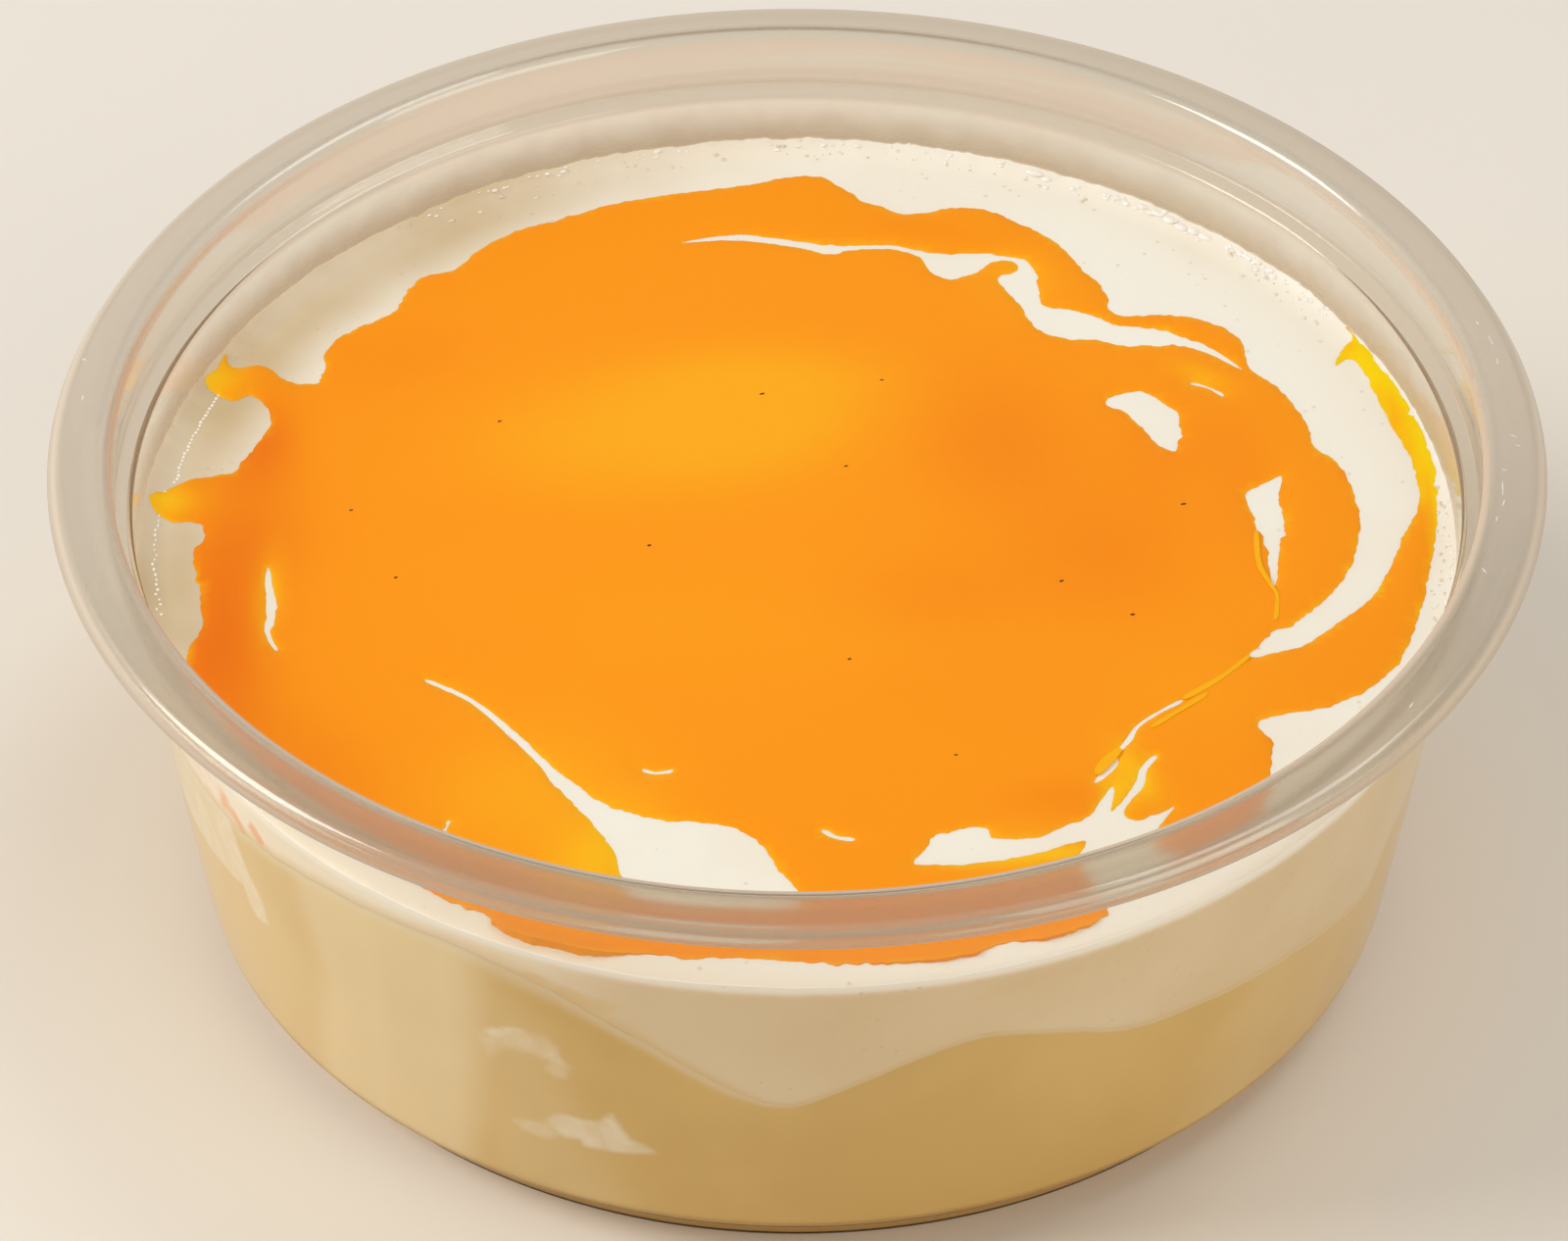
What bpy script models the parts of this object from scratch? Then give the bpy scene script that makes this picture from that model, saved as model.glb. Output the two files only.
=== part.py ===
"""Layered custard dessert in an open clear tub: custard, cream and a pool of fruit sauce.

The tub stands on z = 0 with its axis on the Z axis. Sizes are in metres, +Z is up and
the side that shows the layers best faces -Y.
"""

import math

import bmesh
import bpy
from mathutils import Vector

MM = 0.001
SEGMENTS = 72                    # facets round every turned shape
CLEARANCE = 0.3 * MM             # gap between solids that touch
WELD = 0.005 * MM                # points nearer than this are one

# Clear tub, turned about Z
WALL = 0.5 * MM                  # thickness of the plastic
RIM_RADIUS = 58.5 * MM           # edge of the turned-down lip
RIM_HEIGHT = 43.8 * MM           # top of the ridge inside the flange
LIP_DROP = 1.9 * MM              # from the ridge down to the edge of the lip
FLANGE_WIDTH = 3.8 * MM
FLANGE_FALL = 0.5 * MM           # how far the flange slopes outwards
NECK_RADIUS = 53.7 * MM          # seat of the lid
NECK_DEPTH = 5.4 * MM
LEDGE_WIDTH = 1.35 * MM          # step between the neck and the wall
LEDGE_FALL = 0.35 * MM
SHOULDER_HEIGHT = 6.0 * MM       # upright top stretch of the wall
SHOULDER_TAPER = 0.25 * MM
WALL_MID_RADIUS = 49.6 * MM
WALL_MID_HEIGHT = 14.0 * MM
CREASE_RADIUS = 48.2 * MM        # sharp edge above the foot
CREASE_HEIGHT = 4.4 * MM
HEEL_RADIUS = 45.5 * MM
HEEL_HEIGHT = 1.4 * MM
BASE_RADIUS = 45.1 * MM
CORNER_STEPS = 2                 # facets in each rounded corner of the tub
SHARP_ANGLE = math.radians(35)   # edges sharper than this stay sharp in the shading

# Contents
FILL_HEIGHT = 33.0 * MM          # level of the cream
MENISCUS_RISE = 0.7 * MM         # how far the cream climbs the wall
MENISCUS_WIDTH = 2.6 * MM
CORE_HEIGHT = 22.0 * MM          # custard level in the middle
CORE_POWER = 6                   # keeps the waves of the custard level near the wall
FACE_RINGS = (0.93, 0.84, 0.66, 0.36)   # rings of the face between custard and cream
FLOOR_INSET = 1.0 * MM           # rounds the custard's lower edge inside the foot
SAUCE_TOP = 33.25 * MM
SAUCE_DEPTH = 1.5 * MM
SAUCE_REACH = 50.9 * MM          # the sauce stays this near the axis
SHORE_STEPS = 3                  # points in each stretch of the shoreline
HANDLE_SHARE = 0.36              # length of the shoreline's handles, as a share of its stretches
TIP_TURN = math.radians(100)     # where the shoreline turns more than this, it has a tip
TIP_HANDLE = 1.2 * MM            # longest handle at a tip, which keeps it narrow

# Level of the custard where it meets the wall: azimuth in degrees, height in millimetres.
CUSTARD_LEVELS = (
    (-170, 27.5), (-152, 27.2), (-138, 28.8), (-122, 30.1), (-109, 27.6), (-91, 18.5),
    (-74, 24.9), (-50, 19.9), (-27, 15.6), (0, 20.0), (40, 24.0), (75, 19.5), (110, 24.5),
    (150, 21.0),
)

# Shoreline of the sauce from the left notch, clockwise seen from above, in millimetres.
LEFT_SHORE = (
    (-47.0, 0.8), (-50.6, 3.4), (-48.6, 6.5), (-45.0, 7.5), (-42.5, 13.6), (-44.2, 17.4),
    (-47.6, 18.6), (-46.2, 21.4), (-43.2, 21.4), (-40.6, 19.2), (-38.6, 19.8),
)
BACK_SHORE = (
    (-37.8, 24.6), (-33.2, 28.6), (-31.0, 33.3), (-28.2, 34.6), (-26.0, 38.0),
    (-19.8, 41.5), (-10.0, 45.1), (-2.0, 47.2), (2.0, 47.5), (5.0, 44.6), (8.6, 42.4),
    (13.0, 43.1), (17.0, 42.4), (21.2, 38.8), (24.6, 33.2), (25.8, 29.2), (31.4, 28.2),
    (35.6, 26.0), (36.8, 21.4), (40.4, 15.8), (41.6, 10.8), (43.8, 7.4),
)
CRESCENT_SHORE = (
    (44.5, 0.5), (42.8, -5.8), (38.6, -11.2), (35.4, -15.0), (39.3, -13.8),
    (45.0, -8.0), (47.9, -0.8), (49.2, 5.0), (48.9, 11.0),
)
RIGHT_SHORE = (
    (50.2, 8.0), (50.6, 1.0), (49.6, -5.0), (46.9, -15.0), (42.7, -20.0), (36.0, -22.6),
    (36.2, -27.0), (34.6, -33.6), (30.4, -37.6), (26.8, -36.4), (28.0, -33.2),
)
FRONT_SHORE = (
    (24.0, -33.4), (20.0, -35.0), (14.8, -36.4), (12.8, -35.0), (10.0, -36.4),
    (9.0, -39.2), (15.0, -38.8), (21.4, -37.2), (22.6, -43.8), (18.4, -47.2),
    (12.6, -49.0), (4.0, -50.0), (-8.0, -49.3), (-16.0, -48.8), (-23.0, -45.0),
    (-31.0, -38.8), (-39.8, -29.0), (-45.6, -19.4), (-47.1, -14.4), (-46.3, -10.5),
    (-47.5, -3.2),
)
SHORELINE = LEFT_SHORE + BACK_SHORE + CRESCENT_SHORE + RIGHT_SHORE + FRONT_SHORE

# Places where the cream shows through the sauce, in millimetres.
FRONT_STREAK = (
    (-25.4, -19.4), (-19.2, -26.8), (-14.8, -32.2), (-10.0, -34.3), (-4.6, -35.2),
    (-1.6, -39.6), (0.2, -43.2), (-5.0, -43.9), (-12.2, -42.4), (-14.0, -37.4),
    (-18.8, -29.8),
)
BACK_STREAK = (
    (-8.0, 38.8), (-4.6, 39.3), (3.0, 37.9), (8.6, 37.8), (12.2, 36.8), (17.0, 36.6),
    (19.7, 34.4), (20.6, 29.8), (25.8, 27.4), (31.0, 25.8), (35.4, 22.0), (31.4, 24.0),
    (26.2, 24.4), (20.6, 25.8), (17.0, 32.0), (18.4, 34.4), (15.6, 34.8), (12.6, 33.3),
    (10.6, 35.6), (7.6, 36.8),
)
HALF_MOON = ((25.2, 16.6), (28.0, 18.1), (30.6, 15.2), (30.3, 10.6), (27.6, 13.6))
RIGHT_SLIVER = ((38.6, 7.0), (38.5, 1.0), (37.4, -6.0), (36.5, 0.4), (35.8, 4.6))
CREAM_GAPS = (FRONT_STREAK, BACK_STREAK, HALF_MOON, RIGHT_SLIVER)


def clear_scene():
    """Removes every object that the scene starts with."""
    for obj in list(bpy.data.objects):
        bpy.data.objects.remove(obj, do_unlink=True)


def make_material(name, color, roughness, alpha=1.0):
    """A Principled material of one colour."""
    material = bpy.data.materials.new(name)
    material.use_nodes = True
    shader = material.node_tree.nodes["Principled BSDF"]
    shader.inputs["Base Color"].default_value = (*color, 1.0)
    shader.inputs["Roughness"].default_value = roughness
    shader.inputs["Metallic"].default_value = 0.0
    shader.inputs["Alpha"].default_value = alpha
    return material


def rounded_corner(before, corner, after, radius):
    """Points of a smooth bend that touches both sides of a corner, as an arc of this radius does."""
    corner = Vector(corner)
    back = (Vector(before) - corner).normalized()
    ahead = (Vector(after) - corner).normalized()
    reach = radius / math.tan(back.angle(ahead) / 2)
    start, end = corner + reach * back, corner + reach * ahead
    shares = [step / CORNER_STEPS for step in range(CORNER_STEPS + 1)]
    return [start.lerp(corner, t).lerp(corner.lerp(end, t), t) for t in shares]


def tub_path():
    """The middle of the plastic in (radius, height), from the base's centre to the lip's edge."""
    half = WALL / 2
    ridge = RIM_HEIGHT - half
    neck_foot = RIM_HEIGHT - NECK_DEPTH
    wall_top = neck_foot - LEDGE_FALL
    wall_radius = NECK_RADIUS - LEDGE_WIDTH
    corners = (
        (0.0, half, 0.0),
        (BASE_RADIUS, half, 0.5 * MM),
        (HEEL_RADIUS, HEEL_HEIGHT, 0.7 * MM),
        (CREASE_RADIUS, CREASE_HEIGHT, 0.45 * MM),
        (WALL_MID_RADIUS, WALL_MID_HEIGHT, 0.0),
        (wall_radius - SHOULDER_TAPER, wall_top - SHOULDER_HEIGHT, 0.0),
        (wall_radius, wall_top, 0.2 * MM),
        (NECK_RADIUS - 0.1 * MM, neck_foot, 0.3 * MM),
        (NECK_RADIUS, ridge, 0.6 * MM),
        (NECK_RADIUS + FLANGE_WIDTH, ridge - FLANGE_FALL, 0.7 * MM),
        (RIM_RADIUS - half, RIM_HEIGHT - LIP_DROP, 0.0),
    )
    path = []
    for index, (radius, height, fillet) in enumerate(corners):
        if fillet:
            before, after = corners[index - 1][:2], corners[index + 1][:2]
            path += rounded_corner(before, (radius, height), after, fillet)
        else:
            path.append(Vector((radius, height)))
    return path


TUB_PATH = tub_path()


def inside_radius(height):
    """Radius that the contents may have at a height, with the clearance taken off."""
    for low, high in zip(TUB_PATH[1:], TUB_PATH[2:]):
        if low.y <= height <= high.y:
            share = (height - low.y) / (high.y - low.y)
            return low.x + (high.x - low.x) * share - WALL / 2 - CLEARANCE
    return BASE_RADIUS - WALL / 2 - CLEARANCE


def turned_mesh(rows):
    """A closed or open shell of rows that run round Z.

    A row is a function from the azimuth to the (radius, height) that it has there.
    """
    mesh = bmesh.new()
    row_of = mesh.verts.layers.int.new("row")
    verts = []
    for number, row in enumerate(rows):
        radius, _ = row(0.0)
        # Every row is turned at radius 1, and those that meet the axis at radius 0.
        verts.append(mesh.verts.new((1.0 if radius > WELD else 0.0, 0.0, number)))
        verts[-1][row_of] = number
    edges = [mesh.edges.new(pair) for pair in zip(verts, verts[1:])]
    bmesh.ops.spin(
        mesh, geom=verts + edges, cent=(0, 0, 0), axis=(0, 0, 1),
        angle=2 * math.pi, steps=SEGMENTS, use_merge=True,
    )
    bmesh.ops.remove_doubles(mesh, verts=mesh.verts, dist=WELD)
    for vert in mesh.verts:
        azimuth = math.atan2(vert.co.y, vert.co.x)
        radius, height = rows[vert[row_of]](azimuth)
        vert.co = (radius * math.cos(azimuth), radius * math.sin(azimuth), height)
    bmesh.ops.recalc_face_normals(mesh, faces=mesh.faces)
    # The shorter diagonal is the same one on both sides of the gap between two layers.
    bmesh.ops.triangulate(mesh, faces=mesh.faces, quad_method="SHORT_EDGE")
    return mesh


def fixed_row(radius, height):
    """A row that is a plain circle."""
    return lambda azimuth: (radius, height)


def add_object(name, mesh, material=None):
    """Puts a bmesh into the scene as an object, shaded smooth between its sharp edges."""
    data = bpy.data.meshes.new(name)
    mesh.to_mesh(data)
    mesh.free()
    if material:
        data.materials.append(material)
    data.shade_smooth()
    data.set_sharp_from_angle(angle=SHARP_ANGLE)
    obj = bpy.data.objects.new(name, data)
    bpy.context.collection.objects.link(obj)
    return obj


def make_tub(material):
    """The thin clear tub: its middle surface, thickened to both sides."""
    rows = [fixed_row(point.x, point.y) for point in TUB_PATH]
    tub = add_object("tub", turned_mesh(rows), material)
    shell = tub.modifiers.new("wall", "SOLIDIFY")
    shell.thickness = WALL
    shell.offset = 0.0
    shell.use_even_offset = True


def custard_level(azimuth):
    """Height of the custard at the wall, eased between the named levels."""
    first_azimuth, first_level = CUSTARD_LEVELS[0]
    degrees = (math.degrees(azimuth) - first_azimuth) % 360 + first_azimuth
    levels = CUSTARD_LEVELS + ((first_azimuth + 360, first_level),)
    for (start, low), (end, high) in zip(levels, levels[1:]):
        if degrees <= end:
            share = (degrees - start) / (end - start)
            return (low + (high - low) * (1 - math.cos(math.pi * share)) / 2) * MM


def face_row(ring, lift):
    """A row of the face between custard and cream, a share of the way out to the wall."""
    def place(azimuth):
        level = custard_level(azimuth)
        height = CORE_HEIGHT + (level - CORE_HEIGHT) * ring ** CORE_POWER
        return ring * inside_radius(level), height + lift
    return place


def wall_row(share, lift, top=None):
    """A row along the wall, a share of the way from the crease or the face up to the next edge."""
    def place(azimuth):
        level = custard_level(azimuth) + lift
        low, high = (CREASE_HEIGHT, level) if top is None else (level, top)
        height = low + share * (high - low)
        return inside_radius(height), height
    return place


def make_custard(material):
    """The lower layer: it fills the foot of the tub up to the wavy face."""
    floor = WALL + CLEARANCE
    heel = HEEL_HEIGHT + 0.2 * MM
    rows = [fixed_row(radius, floor) for radius in (0.0, BASE_RADIUS / 2, BASE_RADIUS - FLOOR_INSET)]
    rows += [fixed_row(inside_radius(height), height) for height in (heel, CREASE_HEIGHT)]
    rows += [wall_row(share, -CLEARANCE / 2) for share in (0.25, 0.5, 0.8, 1.0)]
    rows += [face_row(ring, -CLEARANCE / 2) for ring in FACE_RINGS + (0.0,)]
    add_object("custard", turned_mesh(rows), material)


def make_cream(material):
    """The upper layer, from the wavy face up to its level top, a little raised at the wall."""
    edge = FILL_HEIGHT + MENISCUS_RISE
    rim = inside_radius(edge)
    rows = [face_row(ring, CLEARANCE / 2) for ring in (0.0,) + FACE_RINGS[::-1]]
    rows += [wall_row(share, CLEARANCE / 2, edge) for share in (0.0, 0.4, 0.75, 1.0)]
    rows += [
        fixed_row(rim - MENISCUS_WIDTH * share, FILL_HEIGHT + MENISCUS_RISE * (1 - share) ** 2)
        for share in (0.35, 1.0)
    ]
    rows += [fixed_row(rim * ring, FILL_HEIGHT) for ring in (0.6, 0.0)]
    return add_object("cream", turned_mesh(rows), material)


def add_outline(curve, outline):
    """A closed smooth spline through an outline's points, kept inside the tub."""
    points = [Vector((x, y, 0)) * MM for x, y in outline]
    points = [point * min(1.0, SAUCE_REACH / point.length) for point in points]
    spline = curve.splines.new("BEZIER")
    spline.bezier_points.add(len(points) - 1)
    spline.use_cyclic_u = True
    for index, bezier in enumerate(spline.bezier_points):
        before, here, after = points[index - 1], points[index], points[(index + 1) % len(points)]
        tip = (here - before).angle(after - here) > TIP_TURN
        longest = TIP_HANDLE if tip else math.inf
        along = (after - before).normalized()
        bezier.handle_left_type = bezier.handle_right_type = "FREE"
        bezier.co = here
        bezier.handle_left = here - along * min(longest, HANDLE_SHARE * (here - before).length)
        bezier.handle_right = here + along * min(longest, HANDLE_SHARE * (after - here).length)


def pool_mesh(top, depth, growth):
    """A closed slab with the sauce's shoreline and gaps, grown outwards by a distance."""
    curve = bpy.data.curves.new("pool", "CURVE")
    curve.dimensions = "2D"
    curve.fill_mode = "BOTH"
    curve.resolution_u = SHORE_STEPS
    curve.extrude = depth / 2
    curve.offset = growth
    for outline in (SHORELINE,) + CREAM_GAPS:
        add_outline(curve, outline)
    guide = bpy.data.objects.new("pool", curve)
    bpy.context.collection.objects.link(guide)
    bpy.context.view_layer.update()
    graph = bpy.context.evaluated_depsgraph_get()
    mesh = bmesh.new()
    mesh.from_mesh(bpy.data.meshes.new_from_object(guide.evaluated_get(graph)))
    bpy.data.objects.remove(guide, do_unlink=True)
    bmesh.ops.translate(mesh, verts=mesh.verts, vec=(0, 0, top - depth / 2))
    bmesh.ops.remove_doubles(mesh, verts=mesh.verts, dist=WELD)
    bmesh.ops.recalc_face_normals(mesh, faces=mesh.faces)
    return mesh


def make_sauce(material):
    """The pool of sauce, a thin slab with holes where the cream shows."""
    add_object("sauce", pool_mesh(SAUCE_TOP, SAUCE_DEPTH, -CLEARANCE / 2), material)


def sink_sauce(cream):
    """Cuts the bed of the sauce into the cream, a clearance larger all round."""
    above = 1.0 * MM
    bed = pool_mesh(SAUCE_TOP + above, SAUCE_DEPTH + CLEARANCE + above, CLEARANCE / 2)
    cutter = add_object("sauce_bed", bed)
    cutter.hide_render = True
    cutter.display_type = "WIRE"
    cut = cream.modifiers.new("sauce bed", "BOOLEAN")
    cut.operation = "DIFFERENCE"
    cut.solver = "EXACT"
    cut.object = cutter


def main():
    clear_scene()
    make_tub(make_material("clear plastic", (0.80, 0.76, 0.69), 0.08, alpha=0.35))
    make_custard(make_material("custard", (0.82, 0.60, 0.28), 0.35))
    cream = make_cream(make_material("cream", (0.93, 0.88, 0.76), 0.35))
    make_sauce(make_material("fruit sauce", (0.98, 0.40, 0.02), 0.2))
    sink_sauce(cream)


main()
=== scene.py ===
"""Layered custard dessert in an open clear tub.

The tub is thin clear plastic with a stepped rim. Behind its wall a layer of custard lies
under a layer of cream, and a pool of orange fruit sauce covers most of the cream.
"""

import logging
import math
import random
from dataclasses import dataclass, field
from enum import Enum
from typing import Callable, Sequence, TypeAlias

import bmesh
import bpy
from bpy.types import ID, Material, Mesh, Node, NodeSocket, Object
from bmesh.types import BMEdge, BMesh, BMVert
from mathutils import Matrix, Vector, noise
from mathutils.geometry import interpolate_bezier, intersect_point_line
from mathutils.kdtree import KDTree


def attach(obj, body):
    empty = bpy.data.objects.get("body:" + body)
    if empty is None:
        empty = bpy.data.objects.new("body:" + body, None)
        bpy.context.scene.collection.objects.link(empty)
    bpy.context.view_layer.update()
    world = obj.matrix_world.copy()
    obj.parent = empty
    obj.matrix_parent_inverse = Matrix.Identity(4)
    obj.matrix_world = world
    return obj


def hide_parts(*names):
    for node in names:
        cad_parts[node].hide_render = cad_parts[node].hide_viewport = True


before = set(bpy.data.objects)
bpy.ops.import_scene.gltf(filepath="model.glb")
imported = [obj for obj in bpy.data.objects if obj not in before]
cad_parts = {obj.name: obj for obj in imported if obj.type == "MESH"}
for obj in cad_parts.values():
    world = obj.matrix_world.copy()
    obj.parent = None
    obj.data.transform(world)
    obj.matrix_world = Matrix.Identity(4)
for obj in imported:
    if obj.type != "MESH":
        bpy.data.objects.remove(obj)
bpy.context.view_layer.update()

log = logging.getLogger("dessert")

MM = 0.001
WELD = 0.004 * MM                # points nearer than this are one
TURN_STEPS = 320                 # facets round the tub
FOOD_STEPS = 640                 # facets round the food, whose wall carries fine colour
WALL_RADIUS = 50.0               # of the food, in millimetres, where its wall is laid flat

Colour = tuple[float, float, float]
Row = Callable[[float], tuple[float, float]]
Point = tuple[float, float]
Span = tuple[float, float]
Term: TypeAlias = "Signal | float | int"


def tone(red: int, green: int, blue: int) -> Colour:
    """A colour given as it looks on a screen, as the light that a shader works in.

    Args:
        red: 0 to 255.
        green: 0 to 255.
        blue: 0 to 255.

    Returns:
        The three shares of light.
    """
    parts = (part / 255 for part in (red, green, blue))
    return tuple(p / 12.92 if p <= 0.04045 else ((p + 0.055) / 1.055) ** 2.4 for p in parts)


# Shader sums ---------------------------------------------------------------------------


def math_node(operation: str) -> Callable[..., "Signal"]:
    """Makes a method of Signal that puts it and another term through one Math node."""
    def method(self: "Signal", other: Term) -> "Signal":
        return self.graph.signal("ShaderNodeMath", {"operation": operation}, {0: self, 1: other})
    return method


class Signal:
    """A shader socket that takes part in sums as a number does."""

    __add__ = __radd__ = math_node("ADD")
    __sub__ = math_node("SUBTRACT")
    __mul__ = __rmul__ = math_node("MULTIPLY")
    __pow__ = math_node("POWER")
    larger = math_node("MAXIMUM")
    angle_over = math_node("ARCTAN2")

    def __init__(self, graph: "Graph", socket: NodeSocket) -> None:
        """Wraps a socket of a graph."""
        self.graph = graph
        self.socket = socket

    def rise(self, low: float, high: float) -> "Signal":
        """A soft step from 0 at low to 1 at high. With low above high it falls instead."""
        falls = low > high
        first, last = (high, low) if falls else (low, high)
        values = {"Value": self, "From Min": first, "From Max": last,
                  "To Min": 1.0 if falls else 0.0, "To Max": 0.0 if falls else 1.0}
        return self.graph.signal("ShaderNodeMapRange", {"interpolation_type": "SMOOTHSTEP"}, values)


class Graph:
    """The node tree of one material, empty but for its output."""

    def __init__(self, name: str) -> None:
        """Makes the material.

        Args:
            name: the material's name.
        """
        self.material = bpy.data.materials.new(name)
        self.material.use_nodes = True
        self.tree = self.material.node_tree
        self.tree.nodes.clear()
        self.output = self.tree.nodes.new("ShaderNodeOutputMaterial")
        self._place: Signal | None = None

    def node(self, kind: str, settings: dict | None = None, values: dict | None = None) -> Node:
        """Adds a node.

        Args:
            kind: its type.
            settings: its own properties, set first.
            values: a number, colour, Signal or socket for each input, by name or place.

        Returns:
            The node.
        """
        made = self.tree.nodes.new(kind)
        for key, value in (settings or {}).items():
            setattr(made, key, value)
        for key, value in (values or {}).items():
            source = value.socket if isinstance(value, Signal) else value
            if isinstance(source, NodeSocket):
                self.tree.links.new(source, made.inputs[key])
            else:
                taken = made.inputs[key]
                taken.default_value = (*source, 1.0) if taken.type == "RGBA" else source
        return made

    def signal(self, kind: str, settings: dict | None = None, values: dict | None = None,
               output: int | str = 0) -> Signal:
        """Adds a node, as node() does, and returns one of its outputs."""
        return Signal(self, self.node(kind, settings, values).outputs[output])

    def place(self) -> Signal:
        """The point's place on the piece, in metres."""
        if self._place is None:
            self._place = self.signal("ShaderNodeTexCoord", output="Object")
        return self._place

    def axes(self) -> tuple[Signal, Signal, Signal]:
        """X, Y and Z of the point's place."""
        parts = self.node("ShaderNodeSeparateXYZ", values={0: self.place()}).outputs
        return Signal(self, parts[0]), Signal(self, parts[1]), Signal(self, parts[2])

    def vector(self, x: Term, y: Term, z: Term) -> Signal:
        """A vector of three parts."""
        return self.signal("ShaderNodeCombineXYZ", values={0: x, 1: y, 2: z})

    def painted(self, name: str) -> Signal:
        """What a mesh carries at each point under an attribute's name."""
        return self.signal("ShaderNodeAttribute", {"attribute_name": name}, output="Fac")

    def grain(self, per_metre: float, detail: float = 2.0, at: Signal | None = None,
              warp: float = 0.0) -> Signal:
        """Soft random blotches, mostly between 0.3 and 0.7.

        Args:
            per_metre: how fine they are.
            detail: how many finer layers lie on top.
            at: where to read them, the point's own place if left out.
            warp: how far they are drawn out.

        Returns:
            The blotches.
        """
        values = {"Vector": at or self.place(), "Scale": per_metre, "Detail": detail, "Distortion": warp}
        return self.signal("ShaderNodeTexNoise", values=values)

    def blend(self, share: Term, first: Signal | Colour, second: Signal | Colour) -> Signal:
        """A first colour with a share of the second laid over it."""
        return self.signal("ShaderNodeMix", {"data_type": "RGBA"}, {0: share, 6: first, 7: second}, 2)

    def bump(self, height: Signal, depth: float, strength: float) -> Signal:
        """A normal that follows a height of the given depth in metres."""
        values = {"Height": height, "Distance": depth, "Strength": strength}
        return self.signal("ShaderNodeBump", values=values)

    def principled(self, **values: object) -> Signal:
        """A Principled shader. An underscore in a name stands for a space."""
        named = {key.replace("_", " "): value for key, value in values.items()}
        return self.signal("ShaderNodeBsdfPrincipled", values=named)

    def layered(self, share: Term, below: Signal, above: Signal) -> Signal:
        """A shader laid over another, by share."""
        return self.signal("ShaderNodeMixShader", values={0: share, 1: below, 2: above})

    def show(self, shader: Signal) -> Material:
        """Sends a shader to the output and returns the finished material."""
        self.tree.links.new(shader.socket, self.output.inputs["Surface"])
        return self.material


# Mesh helpers --------------------------------------------------------------------------


class Finish(Enum):
    """The record's finishes."""

    PLASTIC = "clear plastic"
    CUSTARD = "custard"
    CREAM = "cream"
    SAUCE = "fruit sauce"


def mesh_data(name: str, mesh: BMesh, material: Material) -> Mesh:
    """Turns a bmesh into a mesh that wears a material, and frees the bmesh."""
    data = bpy.data.meshes.new(name)
    mesh.to_mesh(data)
    mesh.free()
    data.materials.append(material)
    return data


def placed(name: str, data: ID) -> Object:
    """Puts an object that holds the data into the scene."""
    made = bpy.data.objects.new(name, data)
    bpy.context.collection.objects.link(made)
    return made


def piece(name: str, mesh: BMesh, material: Material,
          stands_for: Sequence[str] = ()) -> Object:
    """Makes an object of a bmesh, smooth shaded, and lets it ride on the part.

    Args:
        name: the piece's name.
        mesh: its shape, freed here.
        material: what it is dressed in.
        stands_for: solids that it replaces.

    Returns:
        The object.
    """
    data = mesh_data(name, mesh, material)
    data.shade_smooth()
    data.set_sharp_from_angle(angle=math.radians(40))
    made = placed(name, data)
    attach(made, "root")
    if stands_for:
        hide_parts(*stands_for)
    log.info("%s: %d faces", name, len(data.polygons))
    return made


def polar(radius: float, azimuth: float, height: float) -> Vector:
    """A point by its radius, its azimuth in radians and its height."""
    return Vector((radius * math.cos(azimuth), radius * math.sin(azimuth), height))


def fillet(before: Point, corner: Point, after: Point, radius: float, steps: int) -> list[Vector]:
    """A smooth bend in place of a corner.

    Args:
        before: the point before the corner.
        corner: the corner.
        after: the point after it.
        radius: of the bend.
        steps: facets in the bend.

    Returns:
        The points of the bend.
    """
    middle = Vector(corner)
    back, ahead = (Vector(before) - middle).normalized(), (Vector(after) - middle).normalized()
    reach = radius / math.tan(back.angle(ahead) / 2)
    start, end = middle + reach * back, middle + reach * ahead
    shares = [step / steps for step in range(steps + 1)]
    return [start.lerp(middle, t).lerp(middle.lerp(end, t), t) for t in shares]


def turned(rows: Sequence[Row], steps: int) -> tuple[BMesh, list[list[BMVert]]]:
    """A shell of rows that run round Z.

    Args:
        rows: for each row, a function from the azimuth to a radius and a height.
        steps: facets round the shell.

    Returns:
        The mesh, and its points row by row.
    """
    mesh = bmesh.new()
    row_of = mesh.verts.layers.int.new("row")
    line = []
    for number, row in enumerate(rows):
        radius, _ = row(0.0)
        line.append(mesh.verts.new((1.0 if radius > WELD else 0.0, 0.0, number)))
        line[-1][row_of] = number
    edges = [mesh.edges.new(pair) for pair in zip(line, line[1:])]
    bmesh.ops.spin(mesh, geom=line + edges, cent=(0, 0, 0), axis=(0, 0, 1),
                   angle=2 * math.pi, steps=steps, use_merge=True)
    bmesh.ops.remove_doubles(mesh, verts=mesh.verts, dist=WELD)
    rings: list[list[BMVert]] = [[] for _ in rows]
    for vert in mesh.verts:
        number = vert[row_of]
        azimuth = math.atan2(vert.co.y, vert.co.x)
        radius, height = rows[number](azimuth)
        vert.co = polar(radius, azimuth, height)
        rings[number].append(vert)
    bmesh.ops.recalc_face_normals(mesh, faces=mesh.faces)
    return mesh, rings


def circle(radius: float, height: float) -> Row:
    """A row that is a plain circle."""
    return lambda azimuth: (radius, height)


def closed_line(mesh: BMesh, points: Sequence[Vector]) -> list[BMEdge]:
    """Adds a closed line of edges through points given in millimetres."""
    verts = [mesh.verts.new(point * MM) for point in points]
    return [mesh.edges.new(pair) for pair in zip(verts, verts[1:] + verts[:1])]


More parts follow.
